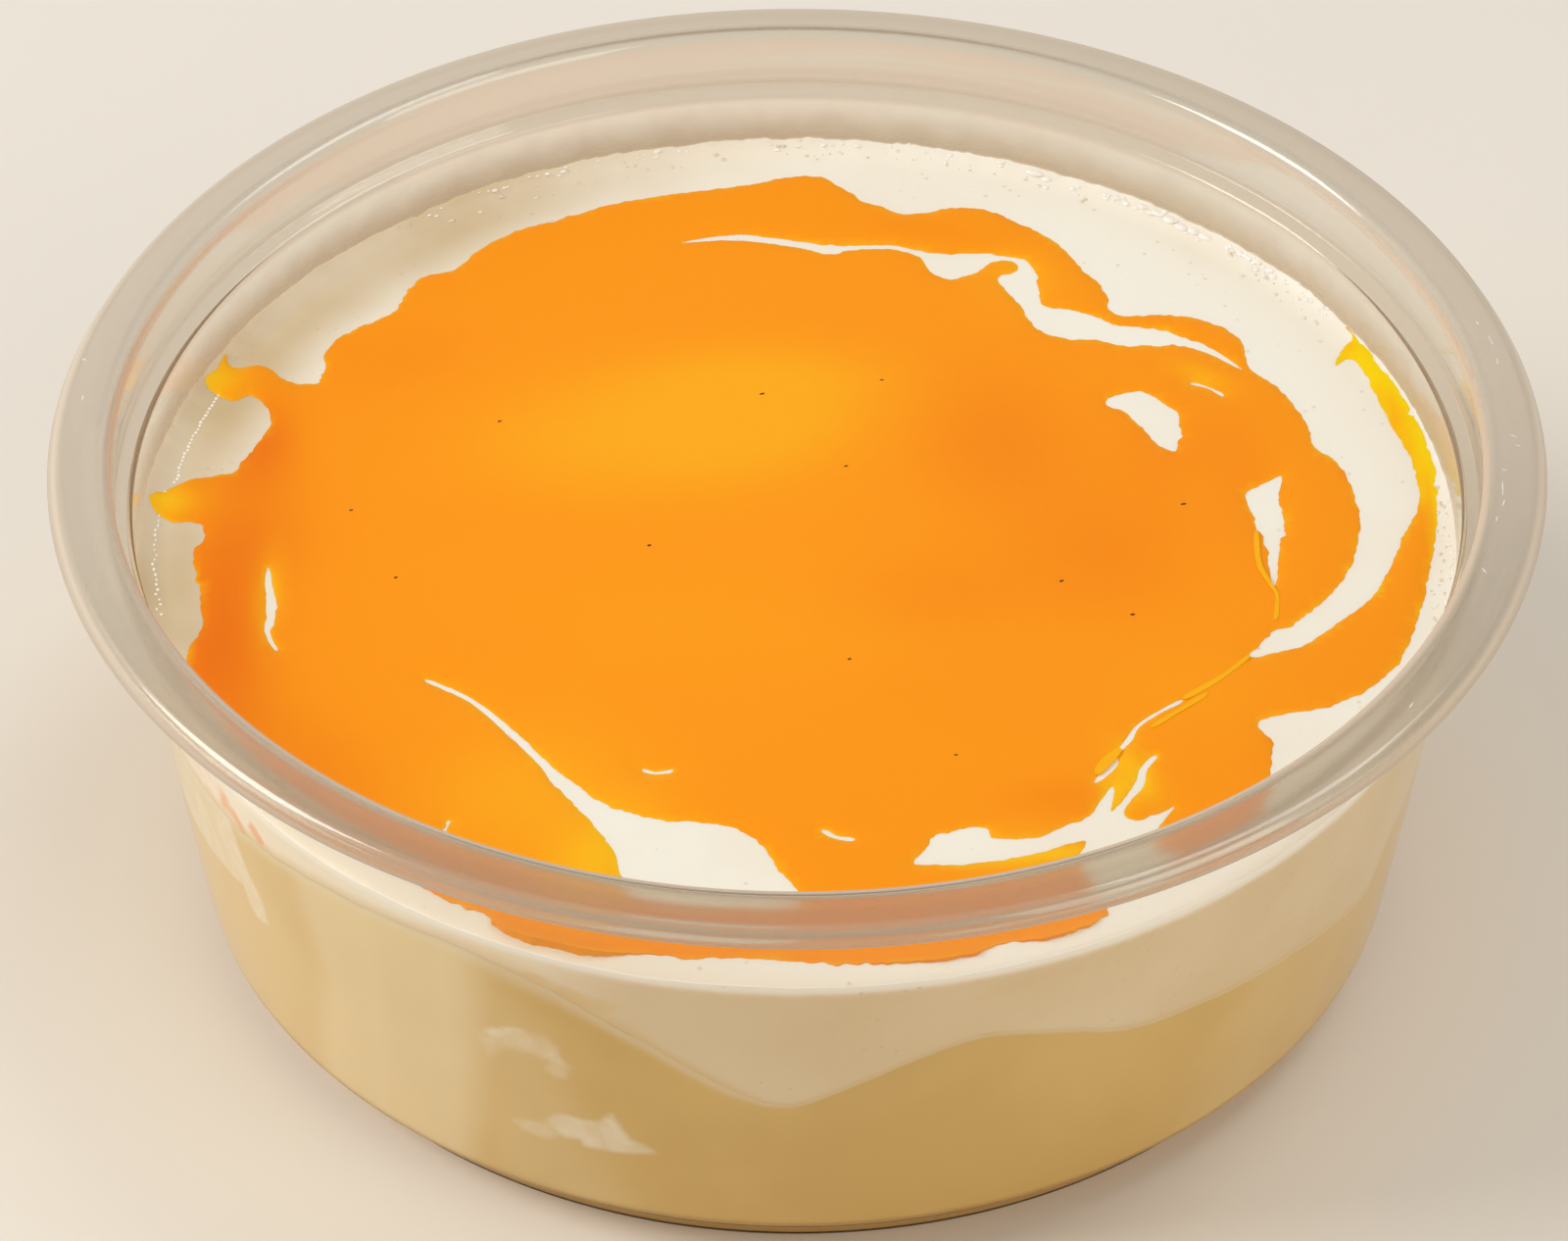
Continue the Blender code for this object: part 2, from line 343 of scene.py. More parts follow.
def doubled(mesh: BMesh) -> set[BMVert]:
    """Makes a flat sheet a closed one with two faces, and returns the points of the new face."""
    raised = bmesh.ops.extrude_face_region(mesh, geom=mesh.faces, use_keep_orig=True)
    return {item for item in raised["geom"] if isinstance(item, BMVert)}


def swell(value: float, low: float, high: float) -> float:
    """A soft step from 0 at low to 1 at high."""
    share = min(1.0, max(0.0, (value - low) / (high - low)))
    return share * share * (3 - 2 * share)


# The tub -------------------------------------------------------------------------------


@dataclass(frozen=True)
class ClearPlastic:
    """Thin clear plastic with long drawn rings, hazier in the rim and milky above the cream.

    A span gives the two heights, radii or places between which something sets in.
    """

    tint: Colour = tone(252, 249, 243)
    lamp_tint: Colour = tone(250, 246, 240)
    haze: Colour = tone(144, 136, 122)
    # Colour of the painted pale sheen on the thick edges, the ledge and the lip.
    edge: Colour = tone(214, 199, 179)
    milk: Colour = tone(192, 170, 138)
    neck_haze: float = 0.08
    rim_haze: float = 0.19
    edge_sheen: float = 0.9            # where the crest and the lip are seen at a low angle
    ledge_sheen: float = 0.22
    lip_sheen: float = 0.16
    milk_share: float = 0.5
    gloss: float = 0.04               # extra shine of the neck and the rim
    rings: float = 0.05 * MM          # depth of the rings that the mould left
    ring_pull: float = 0.15 * MM      # how little the rings change along the way round
    wavy: float = 1.6 * MM            # how far the milky film wanders up and down
    neck_span: Span = (37.6 * MM, 38.4 * MM)
    rim_span: Span = (54.0 * MM, 54.6 * MM)
    crest_span: Span = (42.0 * MM, 42.7 * MM)
    crest_ring: Span = (57.4 * MM, 58.0 * MM)
    lip_ring: Span = (57.0 * MM, 57.5 * MM)
    ledge_foot: Span = (37.5 * MM, 37.9 * MM)
    ledge_top: Span = (39.0 * MM, 38.6 * MM)
    milk_foot: Span = (33.0 * MM, 33.4 * MM)
    milk_top: Span = (38.6 * MM, 34.0 * MM)
    milk_side: Span = (-8 * MM, 12 * MM)

    def build(self) -> Material:
        """The finished material. Lamps shine through it, as they do through thin plastic."""
        g = Graph("clear_plastic")
        x, y, z = g.axes()
        radius = (x * x + y * y) ** 0.5
        # Fine and broad rings, very long round the tub.
        rings = g.vector(radius, y.angle_over(x) * self.ring_pull, z)
        fine = g.grain(900, 1.0, rings)
        broad = g.grain(420, 1.0, rings).rise(0.38, 0.62)
        neck = z.rise(*self.neck_span)
        rim = radius.rise(*self.rim_span) * neck
        low = g.signal("ShaderNodeLayerWeight", values={"Blend": 0.5}, output="Facing")
        haze = (neck * self.neck_haze + rim * (self.rim_haze - self.neck_haze)) * (0.7 + 0.6 * broad)
        glass = g.signal("ShaderNodeBsdfGlass", {"distribution": "GGX"}, {
            "Color": self.tint, "Roughness": 0.04 + rim * 0.16, "IOR": 1.3,
            "Normal": g.bump(fine * neck, self.rings, 0.45)})
        body = g.layered(haze, glass, g.principled(Base_Color=self.haze, Roughness=0.35, IOR=1.4))
        # Painted pale sheen: the thick edges are made pale where they are seen at a low angle, and so are
        # the bend of the ledge and the lip.
        crest = z.rise(*self.crest_span).larger(radius.rise(*self.crest_ring))
        ledge = z.rise(*self.ledge_foot) * z.rise(*self.ledge_top)
        pale = (crest * low.rise(0.22, 0.6) * self.edge_sheen).larger(ledge * self.ledge_sheen)
        pale = pale.larger(radius.rise(*self.lip_ring) * self.lip_sheen)
        body = g.layered(pale, body, g.principled(Base_Color=self.edge, Roughness=0.35, IOR=1.4))
        # The cream has left a thin film on the back wall just above its level.
        film = (z + g.grain(300, 3.0) * self.wavy).rise(*self.milk_top) * z.rise(*self.milk_foot)
        film = film * y.rise(*self.milk_side) * self.milk_share
        body = g.layered(film, body, g.principled(Base_Color=self.milk, Roughness=0.4, IOR=1.4))
        shine = g.signal("ShaderNodeBsdfGlossy", {"distribution": "GGX"}, {
            "Roughness": 0.06, "Normal": g.bump(fine * neck, self.rings, 0.2)})
        body = g.layered(neck * self.gloss, body, shine)
        clear = g.signal("ShaderNodeBsdfTransparent", values={0: self.lamp_tint})
        rays = g.node("ShaderNodeLightPath").outputs
        lamp = Signal(g, rays["Is Shadow Ray"]).larger(Signal(g, rays["Is Diffuse Ray"]))
        return g.show(g.layered(lamp, body, clear))


@dataclass
class Tub:
    """The clear tub, turned about Z, in metres."""

    wall: float = 0.5 * MM
    ridge_height: float = 43.8 * MM
    ridge_radius: float = 53.75 * MM
    lip_radius: float = 58.5 * MM
    corner_steps: int = 6
    finish: ClearPlastic = field(default_factory=ClearPlastic)

    def path(self) -> list[Vector]:
        """The middle of the plastic in (radius, height), from the base's centre to the lip."""
        half = self.wall / 2
        ridge = self.ridge_height - half
        corners = (
            (0.0, half, 0.0),
            (45.1 * MM, half, 0.5 * MM),
            (45.5 * MM, 1.4 * MM, 0.7 * MM),
            (48.2 * MM, 4.4 * MM, 0.45 * MM),
            (49.6 * MM, 14.0 * MM, 0.0),
            (52.1 * MM, 32.05 * MM, 0.0),
            (52.35 * MM, 38.05 * MM, 0.3 * MM),
            (53.6 * MM, 38.4 * MM, 0.4 * MM),
            (self.ridge_radius, ridge, 0.9 * MM),
            (57.55 * MM, ridge - 0.5 * MM, 0.8 * MM),
            (self.lip_radius - half, 41.9 * MM, 0.0),
        )
        path = []
        for index, (radius, height, bend) in enumerate(corners):
            if bend:
                before, after = corners[index - 1][:2], corners[index + 1][:2]
                path += fillet(before, (radius, height), after, bend, self.corner_steps)
            else:
                path.append(Vector((radius, height)))
        return path

    def inside(self, height: float) -> float:
        """Radius of the wall's inner face at a height."""
        line = self.middle
        for low, high in zip(line[1:], line[2:]):
            if low.y <= height <= high.y:
                share = (height - low.y) / (high.y - low.y)
                return low.x + (high.x - low.x) * share - self.wall / 2
        return line[1].x - self.wall / 2

    def __post_init__(self) -> None:
        """Works the path out once."""
        self.middle = self.path()

    def build(self) -> Object:
        """The tub: its middle surface, thickened to both sides."""
        mesh, _ = turned([circle(point.x, point.y) for point in self.middle], TURN_STEPS)
        made = piece("clear_tub", mesh, self.finish.build(), ["tub"])
        shell = made.modifiers.new("wall", "SOLIDIFY")
        shell.thickness = self.wall
        shell.offset = 0.0
        shell.use_even_offset = True
        return made


# Custard and cream ---------------------------------------------------------------------


@dataclass(frozen=True)
class SetCustard:
    """Set custard, smooth, a little darker in places, smeared with cream at the wall, with painted pale
    streaks of light on its wall and painted shade on its foot.
    """

    light: Colour = tone(219, 187, 118)
    deep: Colour = tone(206, 170, 98)
    # Colour of the painted pale streaks of light on the custard's wall.
    light_veil_tone: Colour = tone(248, 237, 205)
    cream: Colour = tone(240, 231, 210)
    # Painted shade: the custard's foot below the crease is darkened, as it faces down and away from the
    # light.
    base: Colour = tone(188, 148, 80)
    foot_shade_share: float = 0.7
    foot_shade_span: Span = (4.4 * MM, 3.9 * MM)

    def build(self) -> Material:
        """The finished material."""
        g = Graph("set_custard")
        _, _, z = g.axes()
        patches = g.grain(60, 3.0).rise(0.35, 0.65)
        colour = g.blend(patches * 0.6, self.light, self.deep)
        ragged = g.grain(420, 4.0, warp=0.4)
        smear = (g.painted("smear") + (ragged - 0.5) * 0.7).rise(0.15, 0.95)
        crumpled = g.grain(240, 3.0, warp=1.5).rise(0.35, 0.65)
        # Painted light: pale streaks on the wall, brightest at the left, in place of light reflected there.
        colour = g.blend(g.painted("painted_light"), colour, self.light_veil_tone)
        colour = g.blend(smear * (0.55 + 0.35 * crumpled), colour, self.cream)
        colour = g.blend(g.painted("meet"), colour, self.cream)
        # Painted shade on the foot below the crease.
        colour = g.blend(z.rise(*self.foot_shade_span) * self.foot_shade_share, colour, self.base)
        return g.show(g.principled(
            Base_Color=colour, Roughness=0.5, Subsurface_Weight=0.15,
            Subsurface_Radius=(1.0, 0.7, 0.4), Subsurface_Scale=1.2 * MM,
            Normal=g.bump(g.grain(1500), 0.02 * MM, 0.3)))


@dataclass(frozen=True)
class SetCream:
    """Set cream: ivory on top, with pinholes, with painted shade on its side at the wall and near its left
    edge, and a painted lighter band along its front edge.
    """

    light: Colour = tone(249, 244, 231)
    deep: Colour = tone(244, 234, 215)
    # Colour of the painted shade on the cream's side.
    side: Colour = tone(224, 204, 168)
    # Colour of the painted light on the cream's front edge.
    edge: Colour = tone(252, 252, 250)
    # Colour of the painted shadow of the rim on the cream's left edge.
    rim_shadow_tone: Colour = tone(204, 180, 136)
    custard: Colour = tone(222, 186, 118)
    sauce: Colour = tone(246, 152, 58)
    # Colour of the painted shade in the pinholes.
    pit_shade: Colour = tone(212, 186, 150)
    rim_shadow_ring: Span = (42.5 * MM, 49.0 * MM)
    rim_shadow_side: Span = (2 * MM, -36 * MM)
    rim_shadow_foot: Span = (32.0 * MM, 32.8 * MM)
    shade_wall_top: Span = (32.3 * MM, 31.0 * MM)
    shade_wall_side: Span = (-25 * MM, -11 * MM)
    shade_wall_ragged: float = 0.7 * MM     # how far the painted shade on the wall wanders up and down
    lit_edge_share: float = 0.85
    lit_edge_ring: Span = (48 * MM, 50.5 * MM)
    lit_edge_side: Span = (-18 * MM, -34 * MM)
    lit_edge_foot: Span = (31.4 * MM, 32.2 * MM)

    def build(self) -> Material:
        """The finished material."""
        g = Graph("set_cream")
        x, y, z = g.axes()
        radius = (x * x + y * y) ** 0.5
        patches = g.grain(55, 3.0).rise(0.35, 0.65)
        colour = g.blend(patches * 0.6, self.light, self.deep)
        ragged = g.grain(420, 4.0, warp=0.4)
        # Painted shadow: the rim's shade on the top near the left wall, fading towards the back.
        rim_shadow = radius.rise(*self.rim_shadow_ring) * x.rise(*self.rim_shadow_side) * z.rise(*self.rim_shadow_foot)
        colour = g.blend(rim_shadow * (0.6 + 0.3 * patches), colour, self.rim_shadow_tone)
        # Painted shade: the cream's side against the wall, below its top, is deepened to tan as it lies in
        # shade, except at the left.
        side = (z + (ragged - 0.5) * self.shade_wall_ragged).rise(*self.shade_wall_top)
        side = side * x.rise(*self.shade_wall_side) * (0.8 + 0.2 * patches)
        colour = g.blend(side, colour, self.side)
        # Painted light: the cream's rounded front edge at the wall is whitened, as if lit, though the rim
        # shades it.
        edge = radius.rise(*self.lit_edge_ring) * y.rise(*self.lit_edge_side) * z.rise(*self.lit_edge_foot)
        colour = g.blend(edge * self.lit_edge_share, colour, self.edge)
        colour = g.blend(g.painted("meet"), colour, self.custard)
        smear = (g.painted("smear") + (ragged - 0.5) * 0.9).rise(0.25, 0.7)
        colour = g.blend(smear * 0.4, colour, self.custard)
        blush = (g.painted("blush") + (ragged - 0.5) * 0.7).rise(0.2, 0.9)
        colour = g.blend(blush * 0.6, colour, self.sauce)
        # Pinholes: small dents in the bump, darkened with painted shade.
        cells = g.signal("ShaderNodeTexVoronoi", {"feature": "F1"},
                         {"Vector": g.place(), "Scale": 900}, "Distance")
        pits = cells.rise(0.22, 0.1) * g.grain(260, 1.0).rise(0.56, 0.64)
        colour = g.blend(pits * 0.4, colour, self.pit_shade)
        return g.show(g.principled(
            Base_Color=colour, Roughness=0.42, Subsurface_Weight=0.2,
            Subsurface_Radius=(1.0, 0.8, 0.6), Subsurface_Scale=1.2 * MM,
            Normal=g.bump(g.grain(160) * 0.5 - pits, 0.05 * MM, 0.4)))


@dataclass(frozen=True)
class WallPatch:
    """A patch on the wall of the food, by its outline in degrees and millimetres of height."""

    outline: tuple[Point, ...]
    soft: float = 0.8
    strength: float = 1.0

    @staticmethod
    def unrolled(azimuth: float, height: float) -> Vector:
        """A place on the wall laid flat, in millimetres."""
        return Vector((math.radians(azimuth) * WALL_RADIUS, height))

    def at(self, azimuth: float, height: float) -> float:
        """How strong the patch is at a place.

        Args:
            azimuth: in degrees.
            height: in metres.

        Returns:
            From 0 outside to the patch's strength inside.
        """
        spot = self.unrolled(azimuth, height / MM)
        corners = [self.unrolled(*corner) for corner in self.outline]
        for axis in range(2):
            places = [corner[axis] for corner in corners]
            if not min(places) - self.soft < spot[axis] < max(places) + self.soft:
                return 0.0
        inside, gap = False, math.inf
        for first, last in zip(corners, corners[1:] + corners[:1]):
            _, share = intersect_point_line(spot, first, last)
            nearest = first.lerp(last, min(1.0, max(0.0, share)))
            gap = min(gap, (spot - nearest).length)
            if (first.y > spot.y) != (last.y > spot.y):
                reach = first.x + (last.x - first.x) * (spot.y - first.y) / (last.y - first.y)
                inside ^= spot.x < reach
        return self.strength * swell(gap if inside else -gap, -self.soft / 2, self.soft / 2)


@dataclass
class Layers:
    """The custard and the cream, which fill the tub up to their level."""

    tub: Tub
    grip: float = 0.1 * MM            # how far the food reaches into the wall
    fill: float = 33.0 * MM
    meniscus: float = 0.9 * MM
    meniscus_width: float = 2.4 * MM
    shoulder: float = -0.65 * MM      # how far the cream's rounded edge drops at the front
    crease: float = 4.4 * MM
    core: float = 15 * MM             # height at which the layers meet inside
    painted_from: float = 44 * MM     # radius outside which the wall marks are painted
    rows: int = 44
    # Level of the custard at the wall: azimuth in degrees, height in millimetres.
    levels: tuple[Point, ...] = (
        (-170, 27.5), (-160, 27.0), (-152, 27.4), (-145.6, 27.5), (-142.5, 28.0), (-138, 28.7),
        (-133, 29.4), (-127, 29.9), (-119, 30.3), (-111, 28.7), (-106, 26.2), (-102, 24.2),
        (-99, 22.2), (-95, 19.9), (-91, 18.6), (-86, 20.6), (-80.6, 23.3), (-74.4, 24.9),
        (-67, 23.2), (-60, 20.7), (-52, 19.8), (-44, 18.8), (-34, 17.0), (-27, 15.8), (-23, 19.5),
        (-10, 21.0), (10, 20.0), (30, 23.5), (45, 24.2), (60, 20.5), (75, 19.3), (95, 22.0),
        (110, 24.5), (130, 22.8), (150, 21.2), (172, 25.0),
    )
    smears: tuple[WallPatch, ...] = (
        WallPatch(((-118.5, 20.7), (-117.2, 21.7), (-115.6, 22.6), (-113.4, 23.1), (-111.6, 23.2),
                   (-110.4, 22.3), (-110.3, 21.0), (-109.6, 19.6), (-109.9, 18.2), (-111.6, 18.1),
                   (-112.4, 18.9), (-112.0, 20.0), (-113.6, 20.3), (-115.4, 19.9), (-116.6, 18.9),
                   (-117.6, 18.3), (-118.3, 19.3)), 1.8, 0.62),
        WallPatch(((-118.4, 21.0), (-117.0, 21.9), (-115.0, 22.8), (-113.6, 22.7), (-115.2, 22.0),
                   (-116.6, 21.0)), 0.9, 0.95),
        WallPatch(((-113.0, 12.3), (-112.1, 13.5), (-110.9, 14.1), (-109.3, 14.0), (-107.6, 14.3),
                   (-106.3, 15.5), (-105.7, 14.1), (-104.7, 12.9), (-103.3, 12.2), (-102.6, 11.6),
                   (-104.6, 11.1), (-106.6, 10.8), (-109.1, 10.7), (-109.5, 11.6), (-111.0, 11.2)),
                  1.5, 1.05),
        WallPatch(((-116.6, 11.6), (-114.8, 12.1), (-113.0, 12.3), (-111.4, 11.4), (-112.8, 10.1),
                   (-115.4, 10.4)), 1.0, 0.6),
        WallPatch(((-179, 31.0), (-176, 18.5), (-160, 18.2), (-154, 18.7), (-150.5, 19.3),
                   (-147.7, 19.9), (-147.5, 18.0), (-146.2, 17.3), (-144.9, 17.6), (-144.0, 18.2),
                   (-144.6, 20.5), (-146.0, 22.5), (-146.9, 24.5), (-147.3, 28.5), (-152, 31.0)),
                  1.2, 1.15),
        WallPatch(((-101.2, 24.4), (-99.6, 22.6), (-97.2, 20.8), (-96.6, 21.8), (-98.8, 24.0)), 0.8, 0.5),
    )
    # Painted light: soft pale streaks on the custard's wall, strongest at the left, in place of the light
    # that the wall reflects there.
    light_veil_patches: tuple[WallPatch, ...] = (
        WallPatch(((-141, 3), (-121.5, 3), (-119.5, 10), (-117.5, 20), (-117, 32), (-139, 32),
                   (-137, 18)), 5.0, 0.52),
        WallPatch(((-180, 2), (-136, 2), (-134, 33), (-180, 33)), 7.0, 0.26),
        WallPatch(((-120, 2), (-104, 2), (-108, 10), (-112, 24), (-118, 30)), 7.0, 0.2),
        WallPatch(((-133.5, 4), (-130.5, 4), (-128.5, 16), (-127.8, 30), (-130.2, 30), (-131, 16)),
                  4.5, 0.42),
        WallPatch(((-123.8, 14), (-121.6, 14), (-119.6, 30), (-122.0, 30)), 3.4, 0.42),
        WallPatch(((-52, 3), (0, 3), (0, 26), (-44, 26)), 9.0, 0.16),
    )
    cream_smears: tuple[WallPatch, ...] = (
        WallPatch(((-120, 30.2), (-112, 30.2), (-104, 28.6), (-106, 27.0), (-114, 29.0)), 1.4, 0.6),
        WallPatch(((-100, 30.4), (-92, 30.2), (-88, 29.2), (-94, 28.4), (-101, 28.8)), 2.0, 0.3),
    )
    blushes: tuple[WallPatch, ...] = (
        WallPatch(((-148.8, 28.6), (-147.8, 30.9), (-146.4, 30.6), (-145.8, 29.4), (-143.9, 28.0),
                   (-144.4, 27.2), (-146.2, 27.8), (-147.6, 28.0)), 1.7, 0.7),
        WallPatch(((-148.4, 28.3), (-147.7, 30.2), (-146.8, 30.2), (-146.9, 28.6)), 1.3, 0.9),
        WallPatch(((-146.6, 29.0), (-145.6, 29.6), (-144.3, 28.2), (-145.0, 27.4)), 1.3, 0.9),
        WallPatch(((-143.5, 29.3), (-142.7, 30.4), (-141.4, 29.0), (-142.0, 28.2)), 1.2, 1.2),
        WallPatch(((-160, 27.2), (-155, 27.0), (-147, 27.2), (-146, 31.6), (-158, 31.8)), 2.6, 0.38),
        WallPatch(((-79, 28.0), (-74, 28.6), (-66, 29.2), (-65, 31.0), (-70, 31.4), (-78, 30.0)), 2.4, 0.34),
        WallPatch(((-112, 29.6), (-107, 29.2), (-104.5, 30.4), (-107, 31.2), (-111, 31.0)), 1.8, 0.3),
        WallPatch(((-60, 31.4), (-44, 29.6), (-42, 31.4), (-56, 32.4)), 1.8, 0.3),
    )

    def level(self, azimuth: float) -> float:
        """Height of the custard at the wall.

        Args:
            azimuth: in radians.

        Returns:
            The height in metres.
        """
        first, _ = self.levels[0]
        degrees = (math.degrees(azimuth) - first) % 360 + first
        before = [(a - 360, h) for a, h in self.levels[-1:]]
        after = [(a + 360, h) for a, h in self.levels[:2]]
        marks = [*before, *self.levels, *after]
        for (a0, h0), (a1, h1), (a2, h2), (a3, h3) in zip(marks, marks[1:], marks[2:], marks[3:]):
            if a1 <= degrees <= a2:
                t = (degrees - a1) / (a2 - a1)
                m1 = (h2 - h0) / (a2 - a0) * (a2 - a1)
                m2 = (h3 - h1) / (a3 - a1) * (a2 - a1)
                height = ((2 * t**3 - 3 * t**2 + 1) * h1 + (t**3 - 2 * t**2 + t) * m1
                          + (3 * t**2 - 2 * t**3) * h2 + (t**3 - t**2) * m2)
                break
        spot = polar(1.0, azimuth, 0.0)
        return (height + 0.22 * noise.noise(spot * 18) + 0.1 * noise.noise(spot * 50)) * MM

    def softness(self, azimuth: float) -> float:
        """How wide the two layers run into each other at the wall, wider at the left.

        Args:
            azimuth: in radians.

        Returns:
            The width in metres.
        """
        degrees = math.degrees(azimuth)
        run = 1.1 * swell(degrees, -176, -150) * swell(-degrees, 100, 116)
        run += 1.1 * swell(degrees, -124, -112) * swell(-degrees, 90, 98)
        return (0.35 + run) * MM

    def brim(self, azimuth: float) -> float:
        """Height of the cream at the wall: raised, but rounded off at the front.

        Args:
            azimuth: in radians.

        Returns:
            The height in metres.
        """
        spot = polar(1.0, azimuth, 0.0)
        wander = 0.4 * noise.noise(spot * 7) + 0.15 * noise.noise(spot * 24)
        ragged = 0.27 * noise.noise(spot * 24 + Vector((9, 0, 0))) + 0.3 * noise.noise(spot * 70)
        wander += ragged * swell(spot.y, -0.3, 0.2)
        raised = self.meniscus * (1 + 0.6 * wander)
        front = swell(-spot.y, 0.1, 0.5)
        return self.fill + raised + front * (self.shoulder * (1 + 0.5 * wander) - raised)

    def reach(self, height: float) -> float:
        """Radius of the food's outer face at a height."""
        return self.tub.inside(height) + self.grip

    def rim(self) -> float:
        """Radius at which the cream's raised edge meets the wall."""
        return self.reach(self.fill + self.meniscus)

    def top(self, radius: float) -> float:
        """Height of the cream's top at a radius: level, and raised at the wall."""
        share = min(1.0, max(0.0, (self.rim() - radius) / self.meniscus_width))
        return self.fill + self.meniscus * (1 - share) ** 2

    def along_wall(self, share: float, upper: bool = False) -> Row:
        """A row along the wall.

        Args:
            share: how far up it lies.
            upper: from the custard's level to the brim, and not from the crease to the level.

        Returns:
            The row.
        """
        def place(azimuth: float) -> tuple[float, float]:
            level = self.level_at(azimuth)
            low, high = (level, self.brim(azimuth)) if upper else (self.crease, level)
            height = low + share * (high - low)
            return self.reach(height), height
        return place

    def bank(self, share: float) -> Row:
        """A row of the cream's raised edge, a share of the way from the wall to its foot."""
        radius = self.rim() - self.meniscus_width * share

        def place(azimuth: float) -> tuple[float, float]:
            lift = (self.brim(azimuth) - self.fill) * (1 - share) ** 2
            ripple = 0.05 * MM * noise.noise(polar(1.0, azimuth, share) * 40)
            return radius, self.fill + lift + ripple * (1 - share)
        return place

    def perch(self, radius: float, azimuth: float) -> Vector:
        """A place on the cream's raised edge, by its radius in metres and azimuth in radians."""
        _, height = self.bank(min(1.0, (self.rim() - radius) / self.meniscus_width))(azimuth)
        return polar(radius, azimuth, height)

    def level_at(self, azimuth: float) -> float:
        """The level, worked out once for each facet."""
        key = round(azimuth * 1e5)
        if key not in self._levels:
            self._levels[key] = self.level(azimuth)
        return self._levels[key]

    def __post_init__(self) -> None:
        """Starts the store of levels."""
        self._levels: dict[int, float] = {}

    def paint(self, mesh: BMesh, marks: dict[str, Sequence[WallPatch]], side: int) -> None:
        """Writes the wall marks and the run of one layer into the other.

        Args:
            mesh: the layer's mesh.
            marks: the marks by the attribute that takes them.
            side: 1 for the layer above the meeting line, -1 for the one below.
        """
        layers = {name: mesh.verts.layers.float.new(name) for name in marks}
        meet = mesh.verts.layers.float.new("meet")
        for vert in mesh.verts:
            azimuth = math.atan2(vert.co.y, vert.co.x)
            if math.hypot(vert.co.x, vert.co.y) < self.painted_from:
                continue
            for name, listed in marks.items():
                strengths = (mark.at(math.degrees(azimuth), vert.co.z) for mark in listed)
                vert[layers[name]] = sum(strength**3 for strength in strengths) ** (1 / 3)
            gap = side * (vert.co.z - self.level_at(azimuth))
            if gap > -0.2 * MM:
                vert[meet] = 0.5 * (1 - swell(gap, 0.0, self.softness(azimuth)))

    def build_custard(self) -> Object:
        """The custard, from the tub's floor to its wavy level."""
        floor = self.tub.wall - self.grip
        rows: list[Row] = [circle(r, floor) for r in (0.0, 25 * MM, 40 * MM, 44.4 * MM, 44.9 * MM)]
        rows += [circle(self.reach(z * MM), z * MM) for z in (0.8, 1.5, 2.4, 3.4, 4.2)]
        rows += [self.along_wall(i / self.rows) for i in range(self.rows + 1)]
        rows += [circle(r, self.core) for r in (40 * MM, 0.0)]
        mesh, _ = turned(rows, FOOD_STEPS)
        self.paint(mesh, {"smear": self.smears, "painted_light": self.light_veil_patches}, -1)
        return piece("custard_layer", mesh, SetCustard().build(), ["custard"])

    def build_cream(self) -> Object:
        """The cream, from the custard up to its level top, raised a little at the wall."""
        count = self.rows // 2
        rows: list[Row] = [circle(r, self.core) for r in (0.0, 40 * MM)]
        rows += [self.along_wall(i / count, upper=True) for i in range(count + 1)]
        rows += [self.bank(share) for share in (0.08, 0.2, 0.35, 0.55, 0.78, 1.0)]
        rows += [circle(self.rim() * ring, self.fill) for ring in (0.9, 0.8, 0.6, 0.4, 0.2, 0.0)]
        mesh, _ = turned(rows, FOOD_STEPS)
        self.paint(mesh, {"smear": self.cream_smears, "blush": self.blushes}, 1)
        return piece("cream_layer", mesh, SetCream().build(), ["cream"])


# The sauce -----------------------------------------------------------------------------


@dataclass(frozen=True)
class FruitSauce:
    """Smooth orange fruit sauce: lighter and deeper in soft patches, darkened to red towards the left by
    painted shade, yellow where it is a film.
    """

    main: Colour = tone(255, 153, 20)
    bright: Colour = tone(255, 173, 26)
    deep: Colour = tone(249, 138, 18)
    # Colour of the painted shade towards the left.
    red: Colour = tone(238, 112, 16)
    film: Colour = tone(255, 197, 24)
    lemon: Colour = tone(250, 214, 8)
    lemon_side: Span = (38 * MM, 48 * MM)

    def build(self) -> Material:
        """The finished material."""
        g = Graph("fruit_sauce")
        x, y, z = g.axes()
        streaks = g.vector(x * 0.35, y, z)
        drift = g.grain(90, 3.0, streaks, warp=0.6)
        light, deep, red = (g.painted(name) for name in ("light", "deep", "red"))
        colour = g.blend((deep + (drift - 0.5) * 0.25).rise(0.0, 1.0), self.main, self.deep)
        colour = g.blend((light + (drift - 0.5) * 0.3).rise(0.0, 1.0), colour, self.bright)
        # Painted shade of the rim's shadow at the left.
        colour = g.blend((red + (drift - 0.5) * 0.15).rise(0.0, 1.0), colour, self.red)
        film = g.blend(x.rise(*self.lemon_side), self.film, self.lemon)
        colour = g.blend(g.painted("film"), colour, film)
        return g.show(g.principled(
            Base_Color=colour, Roughness=0.3, IOR=1.4, Specular_IOR_Level=0.16,
            Subsurface_Weight=0.1, Subsurface_Radius=(1.0, 0.45, 0.1),
            Subsurface_Scale=1.5 * MM, Normal=g.bump(g.grain(75), 0.15 * MM, 0.3)))


@dataclass(frozen=True)
class Spot:
    """A soft round or drawn-out patch on the sauce, in millimetres and degrees."""

    x: float
    y: float
    wide: float
    tall: float
    turn: float = 0.0
    strength: float = 1.0

    def at(self, x: float, y: float) -> float:
        """How strong the patch is at a place."""
        turn = math.radians(self.turn)
        along = (x - self.x) * math.cos(turn) + (y - self.y) * math.sin(turn)
        side = (y - self.y) * math.cos(turn) - (x - self.x) * math.sin(turn)
        return self.strength * math.exp(-((along / self.wide) ** 2 + (side / self.tall) ** 2))


